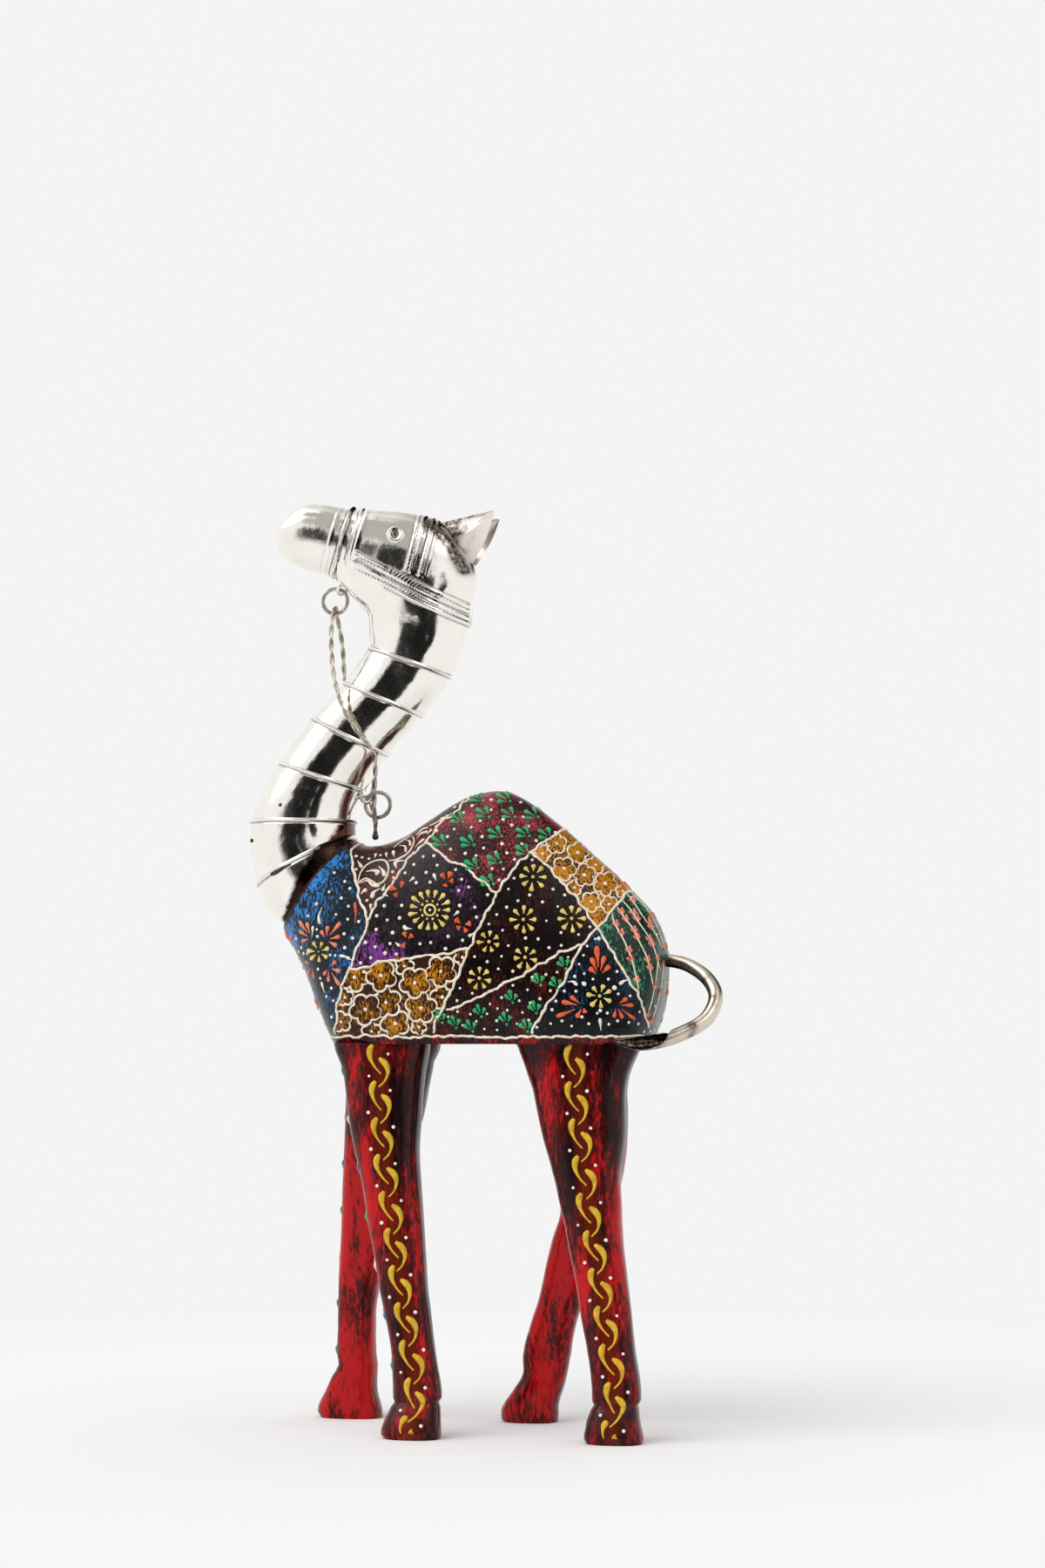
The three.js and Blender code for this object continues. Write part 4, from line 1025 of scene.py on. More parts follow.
# Middle of the chest and of the rump, which the photograph does not show. It has more of the same paint,
# with places in millimetres.
def end_on(x, spots):
    """A line on an end of the body, met along its length from x, for spots across and up in mm."""
    way = Vector((-1 if x > 0 else 1, 0, 0))
    line = [struck(body_surface, Vector((x, y, z)), way) for y, z in through(spots, 0.4)]
    return [hit for hit in line if hit]


def end_drop(kind, x, spots, thick, mirror=True):
    squeezed(kind, end_on(x, spots), [thick * share for share in LEAF_SHAPE], mirror)


CHEST, RUMP = -120, 120
for x, spot in ((CHEST, (384, 1191)), (RUMP, (712, 1190))):
    _, y, z = seen(body_surface, spot)[0]
    squeezed(
        "cream", end_on(x, [(y, z), (y * 0.66, z + 0.4), (y * 0.33, z - 0.3), (0, z)]),
        [0.42, 0.36, 0.44, 0.42],
    )
for k in range(8):
    a = math.tau * k / 8
    end_drop(
        "yellow", CHEST,
        [(1.9 * math.cos(a), 150 + 1.9 * math.sin(a)), (4.6 * math.cos(a), 150 + 4.6 * math.sin(a))], 0.74,
        False,
    )
dot("yellow", end_on(CHEST, [(0, 150), (0, 150.5)])[0], 0.6, False)
for heads in (
    [(-6.5, 157), (-10.5, 160)], [(-6.3, 157.3), (-8, 162.3)], [(-6, 157), (-4.6, 161.5)],
    [(-6.5, 141), (-10.5, 138)], [(-6.3, 140.7), (-7.4, 135.8)], [(-6, 141), (-4, 136.5)],
):
    end_drop("salmon", CHEST, heads, 0.72)
for y, z in (
    (-3.5, 157.5), (-8.5, 152), (-9, 146), (-3.4, 142), (-11.5, 143), (-12, 155), (-10.5, 131.5), (-4.5, 131),
    (-13, 136),
):
    dot("white", end_on(CHEST, [(y, z), (y, z + 0.5)])[0], 0.58)
for z in (159, 140, 134.5):
    dot("white", end_on(CHEST, [(0, z), (0, z + 0.5)])[0], 0.58, False)
for stem in (
    [(-3, 176), (-3.6, 166), (-3, 156)], [(-5.5, 150), (-7.5, 141), (-9.5, 132)],
    [(-10.5, 152), (-12.5, 143), (-13.5, 134)],
):
    squeezed("cream", end_on(RUMP, stem), [0.26, 0.3, 0.24, 0.3, 0.26])
    for y, z in stem:
        for turn, rise in ((-1.3, 0.6), (0.2, 1.7), (1.2, 0.5)):
            end_drop("salmon", RUMP, [(y, z - 1), (y + turn, z + rise)], 0.5)
for y, z in ((-7, 172), (-7, 160), (-3.2, 129.5), (-7.5, 129), (-12, 128.8), (-2, 145), (-10, 137)):
    dot("white", end_on(RUMP, [(y, z), (y, z + 0.5)])[0], 0.5)

# Legs
# Four carved legs glued under the body, red over black and rubbed so that the black shows in streaks,
# with a notched ankle and a hoof. The left ones lean back and the right ones lean forward.
FOOT_Y = 27
HIP_Y = 11.5
LEG_ROUND = 72
LEG_SQUARENESS = 2.7
LEG_TOP = 125.2  # the glued top stands a little into the body
LEGS = {
    "front_left_leg": [
        (124.5, -31.9, 31.6, 19.0), (116, -30.8, 27.0, 18.2), (102, -30.1, 23.7, 16.8),
        (91, -29.0, 21.1, 15.8), (78.6, -27.0, 19.0, 14.6), (67.8, -25.3, 18.0, 14.0),
        (57.8, -23.6, 16.5, 13.4), (45.5, -21.8, 15.3, 12.5), (38, -20.2, 14.4, 12.0),
        (31, -18.8, 13.8, 11.8), (24.2, -17.6, 14.0, 12.0), (17.4, -16.6, 15.0, 12.6),
        (12.6, -16.3, 15.2, 12.8), (11.3, -16.5, 14.0, 11.8), (9.8, -16.8, 15.6, 13.2),
        (4.5, -17.8, 18.4, 15.2), (1.2, -17.9, 19.0, 15.4), (0, -17.5, 17.4, 14.0),
    ],
    "front_right_leg": [
        (124.5, -34.0, 32.0, 19.0), (119, -35.4, 29.5, 18.2), (100, -37.8, 25.8, 16.6),
        (86, -41.0, 22.0, 15.2), (66, -44.2, 17.8, 14.0), (41, -48.4, 13.0, 12.4), (29.3, -49.3, 12.4, 12.0),
        (21.4, -49.7, 12.8, 12.0), (17.6, -49.3, 12.8, 12.2), (13.7, -50.6, 14.8, 13.6),
        (8.7, -51.8, 17.3, 14.6), (5.2, -52.3, 20.2, 15.6), (1.9, -52.4, 21.6, 15.4), (0, -51.9, 20.4, 14.2),
    ],
    "rear_left_leg": [
        (124.5, 33.8, 42.0, 19.5), (123.8, 33.7, 40.0, 19.2), (116.8, 33.6, 34.4, 18.6),
        (110.4, 34.0, 30.3, 17.8), (97.6, 35.6, 27.2, 16.8), (83.6, 37.0, 21.9, 15.2),
        (74.8, 38.3, 19.9, 14.6), (66.3, 39.7, 18.0, 14.0), (51, 42.4, 16.6, 13.2), (40.3, 44.2, 16.1, 12.8),
        (27.9, 46.2, 15.3, 12.6), (18.8, 47.8, 15.3, 12.8), (13.2, 48.2, 15.2, 13.0),
        (11.8, 48.1, 13.8, 12.2), (10.3, 47.8, 15.0, 13.4), (7.2, 47.4, 16.5, 14.6), (1.6, 47.5, 18.7, 15.6),
        (0, 47.7, 17.4, 14.2),
    ],
    "rear_right_leg": [
        (124.5, 28.6, 40.0, 19.5), (119, 28.8, 35.5, 18.8), (109.8, 29.2, 31.0, 18.0),
        (101.8, 30.4, 28.6, 17.4), (86, 31.8, 23.0, 15.8), (70, 30.6, 18.0, 14.4), (61, 27.2, 17.0, 13.6),
        (51, 23.8, 15.6, 13.0), (40, 20.6, 14.6, 12.6), (30, 17.3, 15.2, 12.6), (23.2, 15.8, 15.8, 12.8),
        (20.3, 15.3, 15.4, 12.6), (16, 14.8, 14.6, 12.2), (11.6, 12.9, 15.9, 13.8), (5.7, 9.8, 18.2, 15.2),
        (3.3, 9.4, 18.8, 15.6), (1.0, 9.2, 18.8, 15.2), (0, 9.6, 17.6, 14.2),
    ],
}


# Red paint over black, rubbed along the leg. Black shows in fine upright streaks 0.5 mm wide, in wide
# cloudy areas, and a brown glaze lies under the vine. The red is also darkened towards the top of the
# leg, along its rear edge and low on its front, as painted shade.
leg_paint, tree, shader = start_material("lacquered_red_over_black_paint")
place = add_node(tree, "TexCoord").outputs["Object"]
drawn = add_node(tree, "Mapping", {"Vector": place, "Scale": (1.0, 1.0, 0.3)})
streaks = add_node(
    tree, "TexNoise", {"Vector": drawn.outputs[0], "Scale": 900.0, "Detail": 4.0, "Roughness": 0.66},
)
wear_and_painted_shade = add_node(tree, "TexNoise", {"Vector": drawn.outputs[0], "Scale": 110.0, "Detail": 2.0})
glaze = add_node(tree, "Attribute", attribute_name="glaze")
rubbed = add_node(tree, "Math", {0: wear_and_painted_shade.outputs[0], 1: 1.1, 2: streaks.outputs[0]}, operation="MULTIPLY_ADD")
thicker = add_node(
    tree, "Math", {0: glaze.outputs["Fac"], 1: 0.16, 2: rubbed.outputs[0]}, operation="MULTIPLY_ADD",
)
# Painted shade: the leg darker towards its top under the belly and along its edges
painted_shade_attribute = add_node(tree, "Attribute", attribute_name="wear_and_painted_shade")
thicker = add_node(
    tree, "Math", {0: painted_shade_attribute.outputs["Fac"], 1: 0.17, 2: thicker.outputs[0]}, operation="MULTIPLY_ADD",
)
dark = add_node(tree, "MapRange", {"Value": thicker.outputs[0], "From Min": 0.98, "From Max": 1.14})
deeper = add_node(tree, "MapRange", {"Value": thicker.outputs[0], "From Min": 1.1, "From Max": 1.36})
undercoat = add_node(
    tree, "MixRGB", {"Fac": deeper.outputs[0], "Color1": colour("#5C0A0A"), "Color2": colour("#160304")},
)
leg_colour = add_node(
    tree, "MixRGB", {"Fac": dark.outputs[0], "Color1": colour("#B80E13"), "Color2": undercoat.outputs[0]},
)
brown = add_node(
    tree, "MapRange", {"Value": glaze.outputs["Fac"], "From Min": 0.55, "From Max": 1.0, "To Max": 0.75},
)
glazed = add_node(
    tree, "MixRGB", {"Fac": brown.outputs[0], "Color1": leg_colour.outputs[0], "Color2": colour("#6B210C")},
)
tree.links.new(glazed.outputs[0], shader.inputs["Base Color"])
leg_gloss = add_node(tree, "MapRange", {"Value": streaks.outputs[0], "To Min": 0.13, "To Max": 0.3})
tree.links.new(leg_gloss.outputs[0], shader.inputs["Roughness"])
shader.inputs["Specular IOR Level"].default_value = 0.2
bump = add_node(tree, "Bump", {"Height": streaks.outputs[0], "Strength": 0.3, "Distance": 0.0002})
tree.links.new(bump.outputs[0], shader.inputs["Normal"])
VINE_SHIFT = 0.7  # how far behind the middle of its leg the vine runs

leg_surfaces = {}
for name, rows in LEGS.items():
    side = -1 if "left" in name else 1
    heights = np.array([row[0] for row in rows])
    levels = np.unique(
        np.concatenate(
            [np.linspace(a, b, max(2, 1 + round(abs(a - b) / 1.6))) for a, b in zip(heights, heights[1:])]
        )
    )
    points = []
    for z in levels:
        s = float(np.interp(-z, -heights, np.arange(len(rows))))
        _, x, length, width = smoothed(rows, np.array(s))
        y = side * (FOOT_Y - (FOOT_Y - HIP_Y) * z / BELLY_Z)
        for i in range(LEG_ROUND):
            angle = math.tau * (i + 0.5) / LEG_ROUND
            point = np.array(
                (
                    x + length / 2 * rounded(math.cos(angle), LEG_SQUARENESS),
                    y + width / 2 * rounded(math.sin(angle), LEG_SQUARENESS), z,
                )
            )
            if 0.5 < z < 123:
                outward = np.array((math.cos(angle), math.sin(angle), 0))
                point = point + outward * waves(point * (1, 1, 0.5), 7.0, 0.3)
            if z > rows[0][0] - 0.1:
                point[2] = LEG_TOP
            points.append(point)
    faces = loft_faces(len(levels), LEG_ROUND)
    leg_surfaces[name] = BVHTree.FromPolygons([Vector(p) for p in points], faces)
    leg = make_piece(f"carved_{name}", points, faces, [leg_paint], "red_wood", stands_for=[name])
    glaze = leg.data.attributes.new("glaze", "FLOAT", "POINT")
    wear_and_painted_shade = leg.data.attributes.new("wear_and_painted_shade", "FLOAT", "POINT")
    for k, point in enumerate(points):
        s = float(np.interp(-point[2], -heights, np.arange(len(rows))))
        _, x, length, _ = smoothed(rows, np.array(s))
        across = 2 * (point[0] - x) / length
        # Painted shade: darker towards the top under the belly, along the rear edge and low on the front
        rear = (across - 0.2) * (1.6 if name == "front_left_leg" else 0.5)
        low = (0.4 - across) * (1.2 if name == "rear_left_leg" else 0.5)
        wear_and_painted_shade.data[k].value = min(
            1.3, max(0, (point[2] - 84) / 30) + max(0, rear) + max(0, low * (1 - point[2] / 62)),
        )
        off = (point[0] - x - VINE_SHIFT) / 4.2
        outer = point[1] * side > FOOT_Y - (FOOT_Y - HIP_Y) * point[2] / BELLY_Z
        glaze.data[k].value = math.exp(-(off**2)) if outer else 0.0

# Vine on each leg: commas of golden paint laid head to tail in two rows, with white dots beside them
VINE_PITCH = 11.7
COMMA_LEFT = [(-1.5, 0.0), (-2.6, -1.9), (-2.7, -4.4), (-1.5, -7.2), (0.3, -9.4)]
COMMA_RIGHT = [(0.3, -4.4), (2.2, -6.2), (2.7, -8.8), (1.6, -11.6), (-0.5, -13.6)]
COMMA_WIDTHS = [0.55, 1.1, 1.05, 0.75, 0.5, 0.36, 0.3, 0.26]


def on_leg(name, off, z):
    """The point on the outer side of a leg at a height, so far behind the line of its vine."""
    rows = LEGS[name]
    heights = np.array([row[0] for row in rows])
    s = float(np.interp(-z, -heights, np.arange(len(rows))))
    x = float(smoothed(rows, np.array(s))[1]) + VINE_SHIFT + off
    side = -1 if "left" in name else 1
    return struck(leg_surfaces[name], Vector((x, side * 60, z)), Vector((0, -side, 0)))


for name in LEGS:
    for k in range(11):
        top = 124.6 - VINE_PITCH * k
        for comma in (COMMA_LEFT, COMMA_RIGHT):
            tilt = chance.uniform(-0.25, 0.25)
            curve = through([(x + tilt, z) for x, z in comma], 0.35)
            line = [on_leg(name, x, top + z) for x, z in curve if top + z > 2.0]
            squeezed("gold", [hit for hit in line if hit], COMMA_WIDTHS, mirror=False)
        for off, height in ((-3.9, 1.6), (3.6, -3.0)):
            if top + height > 4:
                hit = on_leg(name, off + chance.uniform(-0.4, 0.4), top + height)
                if hit:
                    dot("white", hit, 0.6 * chance.uniform(0.8, 1.1), mirror=False)

# Front of the front legs: sprigs in a column
for name, side in (("front_left_leg", -1), ("front_right_leg", 1)):
    for k, z in enumerate(np.arange(113, 16, -15.5)):
        kind = ("green", "white", "sky")[k % 3]
        for turn in (-0.7, 0.0, 0.7):
            line = []
            for step in np.linspace(0.6, 5.2, 14):
                y = side * (FOOT_Y - (FOOT_Y - HIP_Y) * z / BELLY_Z) + step * math.sin(turn)
                start = Vector((-120, y, z + step * math.cos(turn)))
                line.append(struck(leg_surfaces[name], start, Vector((1, 0, 0))))
            line = [hit for hit in line if hit]
            squeezed(kind, line, [0.25, 0.35, 0.6, 0.75, 0.4], mirror=False)

# Nails of the hooves, three short cream strokes at the front of each
for name, side in (
    ("front_left_leg", -1), ("front_right_leg", 1), ("rear_left_leg", -1), ("rear_right_leg", 1),
):
    for off in (-3.2, 0.0, 3.2):
        line = []
        for z in np.linspace(1.6, 6.6 - 0.35 * abs(off), 12):
            start = Vector((-150, side * (FOOT_Y - (FOOT_Y - HIP_Y) * z / BELLY_Z) + off, z))
            line.append(struck(leg_surfaces[name], start, Vector((1, 0, 0))))
        line = [hit for hit in line if hit]
        squeezed("cream", line, [0.25, 0.4, 0.4, 0.25], mirror=False)

for kind, (name, light, deep) in RAISED_COLOURS.items():
    # Thick acrylic paint dried to a smooth skin, so it has small bright highlights.
    material, tree, shader = start_material(name)
    place = add_node(tree, "TexCoord").outputs["Object"]
    mottle = add_node(tree, "TexNoise", {"Vector": place, "Scale": 500.0, "Detail": 3.0})
    uneven = add_node(tree, "MapRange", {"Value": mottle.outputs[0], "From Min": 0.4, "From Max": 0.7})
    mixed = add_node(
        tree, "MixRGB", {"Fac": uneven.outputs[0], "Color1": colour(light), "Color2": colour(deep)},
    )
    tree.links.new(mixed.outputs[0], shader.inputs["Base Color"])
    gloss = add_node(tree, "MapRange", {"Value": mottle.outputs[0], "To Min": 0.25, "To Max": 0.45})
    tree.links.new(gloss.outputs[0], shader.inputs["Roughness"])
    points, faces = raised_paint[kind]
    make_piece(f"raised_{kind}_paint", points, faces, [material], "painted_wood", sharp=180)

# Neck core and dowels
# The wood inside the metal and the pins that join the pieces, bare light hardwood. They stay as the
# frame has them, because the sheets and the body hide them.
bare_wood, tree, shader = start_material("bare_light_hardwood")
place = add_node(tree, "TexCoord").outputs["Object"]
long_grain = add_node(tree, "Mapping", {"Vector": place, "Scale": (1.0, 1.0, 0.08)})
grain = add_node(tree, "TexNoise", {"Vector": long_grain.outputs[0], "Scale": 700.0, "Detail": 4.0})
wood_colour = add_node(
    tree, "MixRGB", {"Fac": grain.outputs[0], "Color1": colour("#8E6A3F"), "Color2": colour("#D2AD7C")},
)
tree.links.new(wood_colour.outputs[0], shader.inputs["Base Color"])
shader.inputs["Roughness"].default_value = 0.7
for name in ("neck_core", "neck_dowel", *(f"{leg}_dowel" for leg in LEGS)):
    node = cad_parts[name]
    node.data.materials.clear()
    node.data.materials.append(bare_wood)

# Metal sheets
# Thin nickel-silver sheet cut in bands, bent round the carved neck and head, and beaten over their
# edges into rounded beads. Straps of a bridle are beaten into the sheet from behind.
NECK = [
    (-67.5, 161.9, -44.4, 192.2, 17.2, 0, 2.15), (-73.6, 168.8, -44.5, 192.9, 16.9, 0, 2.15),
    (-77.5, 177.3, -44.8, 193.9, 16.5, 0, 2.15), (-80.2, 188.1, -44.9, 196.3, 16.0, 0, 2.15),
    (-79.8, 199.2, -44.5, 198.7, 15.6, 0, 2.15), (-75.8, 209.3, -43.6, 203.4, 15.1, 0, 2.15),
    (-69.6, 219.0, -41.1, 209.2, 14.6, 0, 2.15), (-64.0, 226.7, -37.2, 215.1, 14.1, 0, 2.15),
    (-58.3, 233.9, -32.4, 220.8, 13.7, 0, 2.15), (-52.8, 239.9, -26.6, 226.9, 13.4, 0, 2.15),
    (-47.5, 245.2, -20.6, 233.6, 13.1, 0, 2.15), (-43.1, 250.5, -15.3, 239.8, 12.9, 0, 2.15),
    (-39.3, 256.8, -11.4, 246.5, 12.8, 0, 2.15), (-38.2, 260.9, -7.7, 254.1, 12.9, 0, 2.15),
    (-38.4, 262.5, -5.8, 261.9, 13.0, 0, 2.15), (-39.0, 263.8, -4.7, 269.2, 13.1, 0, 2.15),
    (-39.8, 265.4, -3.3, 277.8, 13.0, 0, 2.2), (-40.7, 267.5, -5.5, 287.6, 12.6, 0, 2.2),
    (-41.8, 270.1, -12.5, 296.1, 12.2, 0, 2.25), (-43.4, 273.4, -22.8, 300.3, 11.8, 0, 2.3),
    (-45.9, 276.6, -33.5, 302.2, 11.2, 0, 2.3), (-48.6, 278.1, -42.2, 302.6, 10.7, 0, 2.35),
    (-53.3, 280.0, -47.4, 303.1, 10.4, 0, 2.4), (-59.0, 281.6, -55.1, 305.0, 10.0, 0, 2.4),
    (-65.4, 283.7, -62.2, 304.8, 9.3, 0, 2.4), (-69.5, 287.4, -68.3, 300.8, 7.6, 0, 2.3),
    (-71.7, 291.3, -71.4, 297.1, 4.5, 0, 2.2),
]
SHEET = 0.4
MUZZLE_START = 21.5
MUZZLE_RINGS = 150
HEAD_ROUND = 200
NECK_ROUND = 120
NECK_SHEET_ENDS = [12, 10, 8, 6, 4, 2, 0]
BEAD_HEIGHT = 0.5
STRAPS = [
    [(387, 591), (378, 622), (371, 655)], [(401, 590), (391, 622), (381, 659)],
    [(414, 591), (403, 624), (395, 662)], [(420, 591), (409, 625), (401, 662)],
    [(481, 594), (475, 622), (467, 655)], [(486, 595), (479, 623), (471, 656)],
    [(498, 596), (491, 625), (482, 659)], [(504, 597), (496, 627), (487, 661)],
    [(408, 633), (450, 655), (500, 680), (538, 696)], [(407, 637), (450, 660), (500, 685), (538, 701)],
    [(405, 645), (450, 669), (500, 694), (538, 710)], [(404, 650), (450, 675), (500, 700), (538, 716)],
]
STRAP_HEIGHTS = [0.12, 0.55, 0.55, 0.14, 0.3, 0.48, 0.48, 0.3, 0.4, 0.42, 0.4, 0.48]

# Rows of punched dots between the straps
PUNCHED = [
    [(483, 596), (477, 624), (469, 656)], [(495, 597), (488, 625), (479, 658)],
    [(412, 641), (450, 657), (500, 682), (536, 699)], [(410, 654), (450, 672), (500, 697), (536, 713)],
]
PUNCH_STEP = 1.25
# Where the ears stand on the head: the curved foot of the right one
EAR_FOOT = [(-17.7, 2.1, 296.5), (-11.3, 4.3, 289.6), (-5.9, 2.4, 280.5)]

head_steps = np.linspace(0, len(NECK) - 1, len(NECK) * 8)
grid, out = skin_grid(NECK, head_steps, NECK_ROUND)
neck_surface = BVHTree.FromPolygons(
    [Vector(p) for p in grid.reshape(-1, 3)], loft_faces(len(head_steps), NECK_ROUND),
)


def with_lengths(lines):
    """All points of some lines, each with how far along its line it is."""
    spots, lengths = [], []
    for line in lines:
        points = np.array([p for p, _ in line])
        steps = np.linalg.norm(np.diff(points, axis=0), axis=1)
        spots.append(points)
        lengths.append(np.concatenate(([0], np.cumsum(steps))))
    return np.concatenate(spots), np.concatenate(lengths)


strap_lines = [on_surface(neck_surface, strap, over=(k < 8, k < 4)) for k, strap in enumerate(STRAPS)]
strap_points, _ = with_lengths(strap_lines)
strap_heights = np.repeat(STRAP_HEIGHTS, [len(line) for line in strap_lines])
punch_points, punch_lengths = with_lengths([on_surface(neck_surface, row, step=0.8) for row in PUNCHED])


# Nickel silver, rolled and hand-polished: bright and slightly warm, softly hammered, and darker brown in
# the creases beside the beads. The same attribute carries stains and painted shade elsewhere.
def polished_sheet(name, stain_and_painted_shade="#44342A", light="#F8F5F0", grey="#E6E1DA", polish=(0.08, 0.17)):
    material, tree, shader = start_material(name)
    place = add_node(tree, "TexCoord").outputs["Object"]
    clouds = add_node(tree, "TexNoise", {"Vector": place, "Scale": 140.0, "Detail": 3.0})
    tint = add_node(
        tree, "MixRGB", {"Fac": clouds.outputs[0], "Color1": colour(light), "Color2": colour(grey)},
    )
    specks = add_node(tree, "TexNoise", {"Vector": place, "Scale": 900.0, "Detail": 3.0})
    uneven = add_node(tree, "MapRange", {"Value": specks.outputs[0], "To Min": 0.3, "To Max": 1.5})
    left = add_node(tree, "Attribute", attribute_name="stain_and_painted_shade")
    darkened = add_node(
        tree, "Math", {0: left.outputs["Fac"], 1: uneven.outputs[0]}, operation="MULTIPLY", use_clamp=True,
    )
    mixed = add_node(
        tree, "MixRGB", {"Fac": darkened.outputs[0], "Color1": tint.outputs[0], "Color2": colour(stain_and_painted_shade)},
    )
    tree.links.new(mixed.outputs[0], shader.inputs["Base Color"])
    rough = add_node(tree, "MapRange", {"Value": clouds.outputs[0], "To Min": polish[0], "To Max": polish[1]})
    tree.links.new(rough.outputs[0], shader.inputs["Roughness"])
    shader.inputs["Metallic"].default_value = 1.0
    dents = add_node(tree, "TexNoise", {"Vector": place, "Scale": 260.0, "Detail": 2.0})
    bump = add_node(tree, "Bump", {"Height": dents.outputs[0], "Strength": 0.14, "Distance": 0.0006})
    tree.links.new(bump.outputs[0], shader.inputs["Normal"])
    return material


sheet_metal = polished_sheet("polished_nickel_silver_sheet")
scorched_metal = polished_sheet("scorched_nickel_silver_sheet", stain_and_painted_shade="#54301D")
smeared_metal = polished_sheet("smeared_nickel_silver_sheet", stain_and_painted_shade="#2A1C15")
# Where two neck sheets are scorched by soldering and smeared with dark paint: pixel and reach
SCORCHED = [(403, 951, 13), (395, 958, 11), (386, 965, 8)]
SMEARED = [
    (392, 963, 10), (384, 969, 12), (376, 976, 13), (368, 985, 13), (361, 995, 12), (354, 1005, 10),
    (351, 1010, 9), (347, 1016, 9), (344, 1022, 8), (340, 1029, 7), (337, 1035, 6), (334, 1042, 6),
    (332, 1048, 5), (329, 1054, 5),
]


def nearest_of(points, spots):
    """The distance from each point to the nearest of the spots, and which spot that is."""
    distance = np.empty(len(points))
    which = np.empty(len(points), int)
    for start in range(0, len(points), 2000):
        apart = ((points[start : start + 2000, None, :] - spots[None, :, :]) ** 2).sum(-1)
        which[start : start + 2000] = apart.argmin(axis=1)
        distance[start : start + 2000] = np.sqrt(apart.min(axis=1))
    return distance, which


def worked(points, edge_distance, straps):
    """How far beads and straps stand out of the sheet at each point, and how much darker it is beside them.
    """
    height = BEAD_HEIGHT * np.exp(-(((edge_distance - 0.62) / 0.36) ** 2))
    height -= 0.14 * np.exp(-(((edge_distance - 1.5) / 0.3) ** 2))
    stain_and_painted_shade = 0.75 * np.exp(-(((edge_distance - 1.4) / 0.3) ** 2))
    stain_and_painted_shade += 0.5 * np.exp(-((edge_distance / 0.2) ** 2))
    if straps:
        folded = on_near_side(points)
        nearest, which = nearest_of(folded, strap_points)
        nearest = nearest.reshape(points.shape[:2])
        strap = strap_heights[which].reshape(points.shape[:2])
        height += strap * np.exp(-((nearest / 0.54) ** 2))
        stain_and_painted_shade += 2.0 * strap * np.exp(-(((nearest - 1.05) / 0.22) ** 2))
        punched, which = nearest_of(folded, punch_points)
        beat = 0.5 + 0.5 * np.cos(math.tau * punch_lengths[which] / PUNCH_STEP)
        dots = np.exp(-((punched / 0.34) ** 2)) * beat
        height -= 0.12 * dots.reshape(points.shape[:2])
        stain_and_painted_shade += 1.1 * dots.reshape(points.shape[:2])
        # Darker on the head round the foot of each ear
        foot = through([(x, z) for x, _, z in EAR_FOOT], 0.5)
        from_ear, _ = nearest_of(folded[:, [0, 2]], foot)
        stain_and_painted_shade += 1.8 * np.exp(-((from_ear.reshape(points.shape[:2]) / 1.7) ** 2))
    return height, np.clip(stain_and_painted_shade, 0, 1)


def keep_stain_and_painted_shade(piece, values):
    """Stores the darkening, stains and painted shade, on the first points of a piece, for its material."""
    stain_and_painted_shade = piece.data.attributes.new("stain_and_painted_shade", "FLOAT", "POINT")
    flat_values = np.zeros(len(piece.data.vertices), np.float32)
    flat_values[: values.size] = values.ravel()
    stain_and_painted_shade.data.foreach_set("value", flat_values)


def wrapped_sheet(name, start, end, rings, sides, metal=sheet_metal, straps=False, marks=()):
    """A band of sheet round the neck with a bead along its upper edge, as a closed thin shell."""
    s_values = np.linspace(start, end, rings)
    points, out = skin_grid(NECK, s_values, sides)
    steps = np.linalg.norm(np.diff(points, axis=0), axis=-1)
    to_edge = np.flip(np.cumsum(np.flip(steps, 0), axis=0), 0)
    to_edge = np.concatenate((to_edge, np.zeros((1, sides))))
    height, stain_and_painted_shade = worked(points, to_edge, straps)
    spots = pixels_of(on_near_side(points)).reshape(*points.shape[:2], 2)
    for x, y, reach in marks:
        far = np.hypot(spots[..., 0] - x, spots[..., 1] - y) / reach
        stain_and_painted_shade = np.maximum(stain_and_painted_shade, 2.0 * np.clip(1.3 - far, 0, 1))
    dents = np.array([[waves(p, 9.0, 0.2) + waves(p, 3.5, 0.03) for p in row] for row in points])
    outer = points + out * (height + dents)[..., None]
    inner = points[[-1, rings // 2, 0]] - out[[-1, rings // 2, 0]] * SHEET
    shell = np.concatenate((outer, inner)).reshape(-1, 3)
    piece = make_piece(
        f"polished_{name}", shell, loft_faces(rings + 3, sides, closed=True), [metal], "white_metal",
        sharp=60, stands_for=[name],
    )
    keep_stain_and_painted_shade(piece, stain_and_painted_shade)


for k, (start, end) in enumerate(zip(NECK_SHEET_ENDS[1:], NECK_SHEET_ENDS)):
    metal = {4: scorched_metal, 5: smeared_metal}.get(k, sheet_metal)
    marks = {4: SCORCHED, 5: SMEARED}.get(k, ())
    wrapped_sheet(f"neck_sheet_{k + 1}", start, end, 90, 150, metal, marks=marks)
wrapped_sheet("face_sheet", NECK_SHEET_ENDS[0], MUZZLE_START, 290, HEAD_ROUND, straps=True)

# Two steel pins, and a tear over the bead of the last sheet, dark with age
raised_paint["pins"] = ([], [])
dots("pins", [(322, 924), (289, 965)], 0.75, neck_surface)
drop("pins", neck_surface, [(334, 992), (323, 998), (311, 1004)], 0.85)
material, tree, shader = start_material("dark_aged_steel_pins")
place = add_node(tree, "TexCoord").outputs["Object"]
rust = add_node(tree, "TexNoise", {"Vector": place, "Scale": 2500.0})
mixed = add_node(
    tree, "MixRGB", {"Fac": rust.outputs[0], "Color1": colour("#17120F"), "Color2": colour("#3A2A20")},
)
tree.links.new(mixed.outputs[0], shader.inputs["Base Color"])
shader.inputs["Roughness"].default_value = 0.45
make_piece("neck_sheet_pins", *raised_paint["pins"], [material], "white_metal", sharp=180)

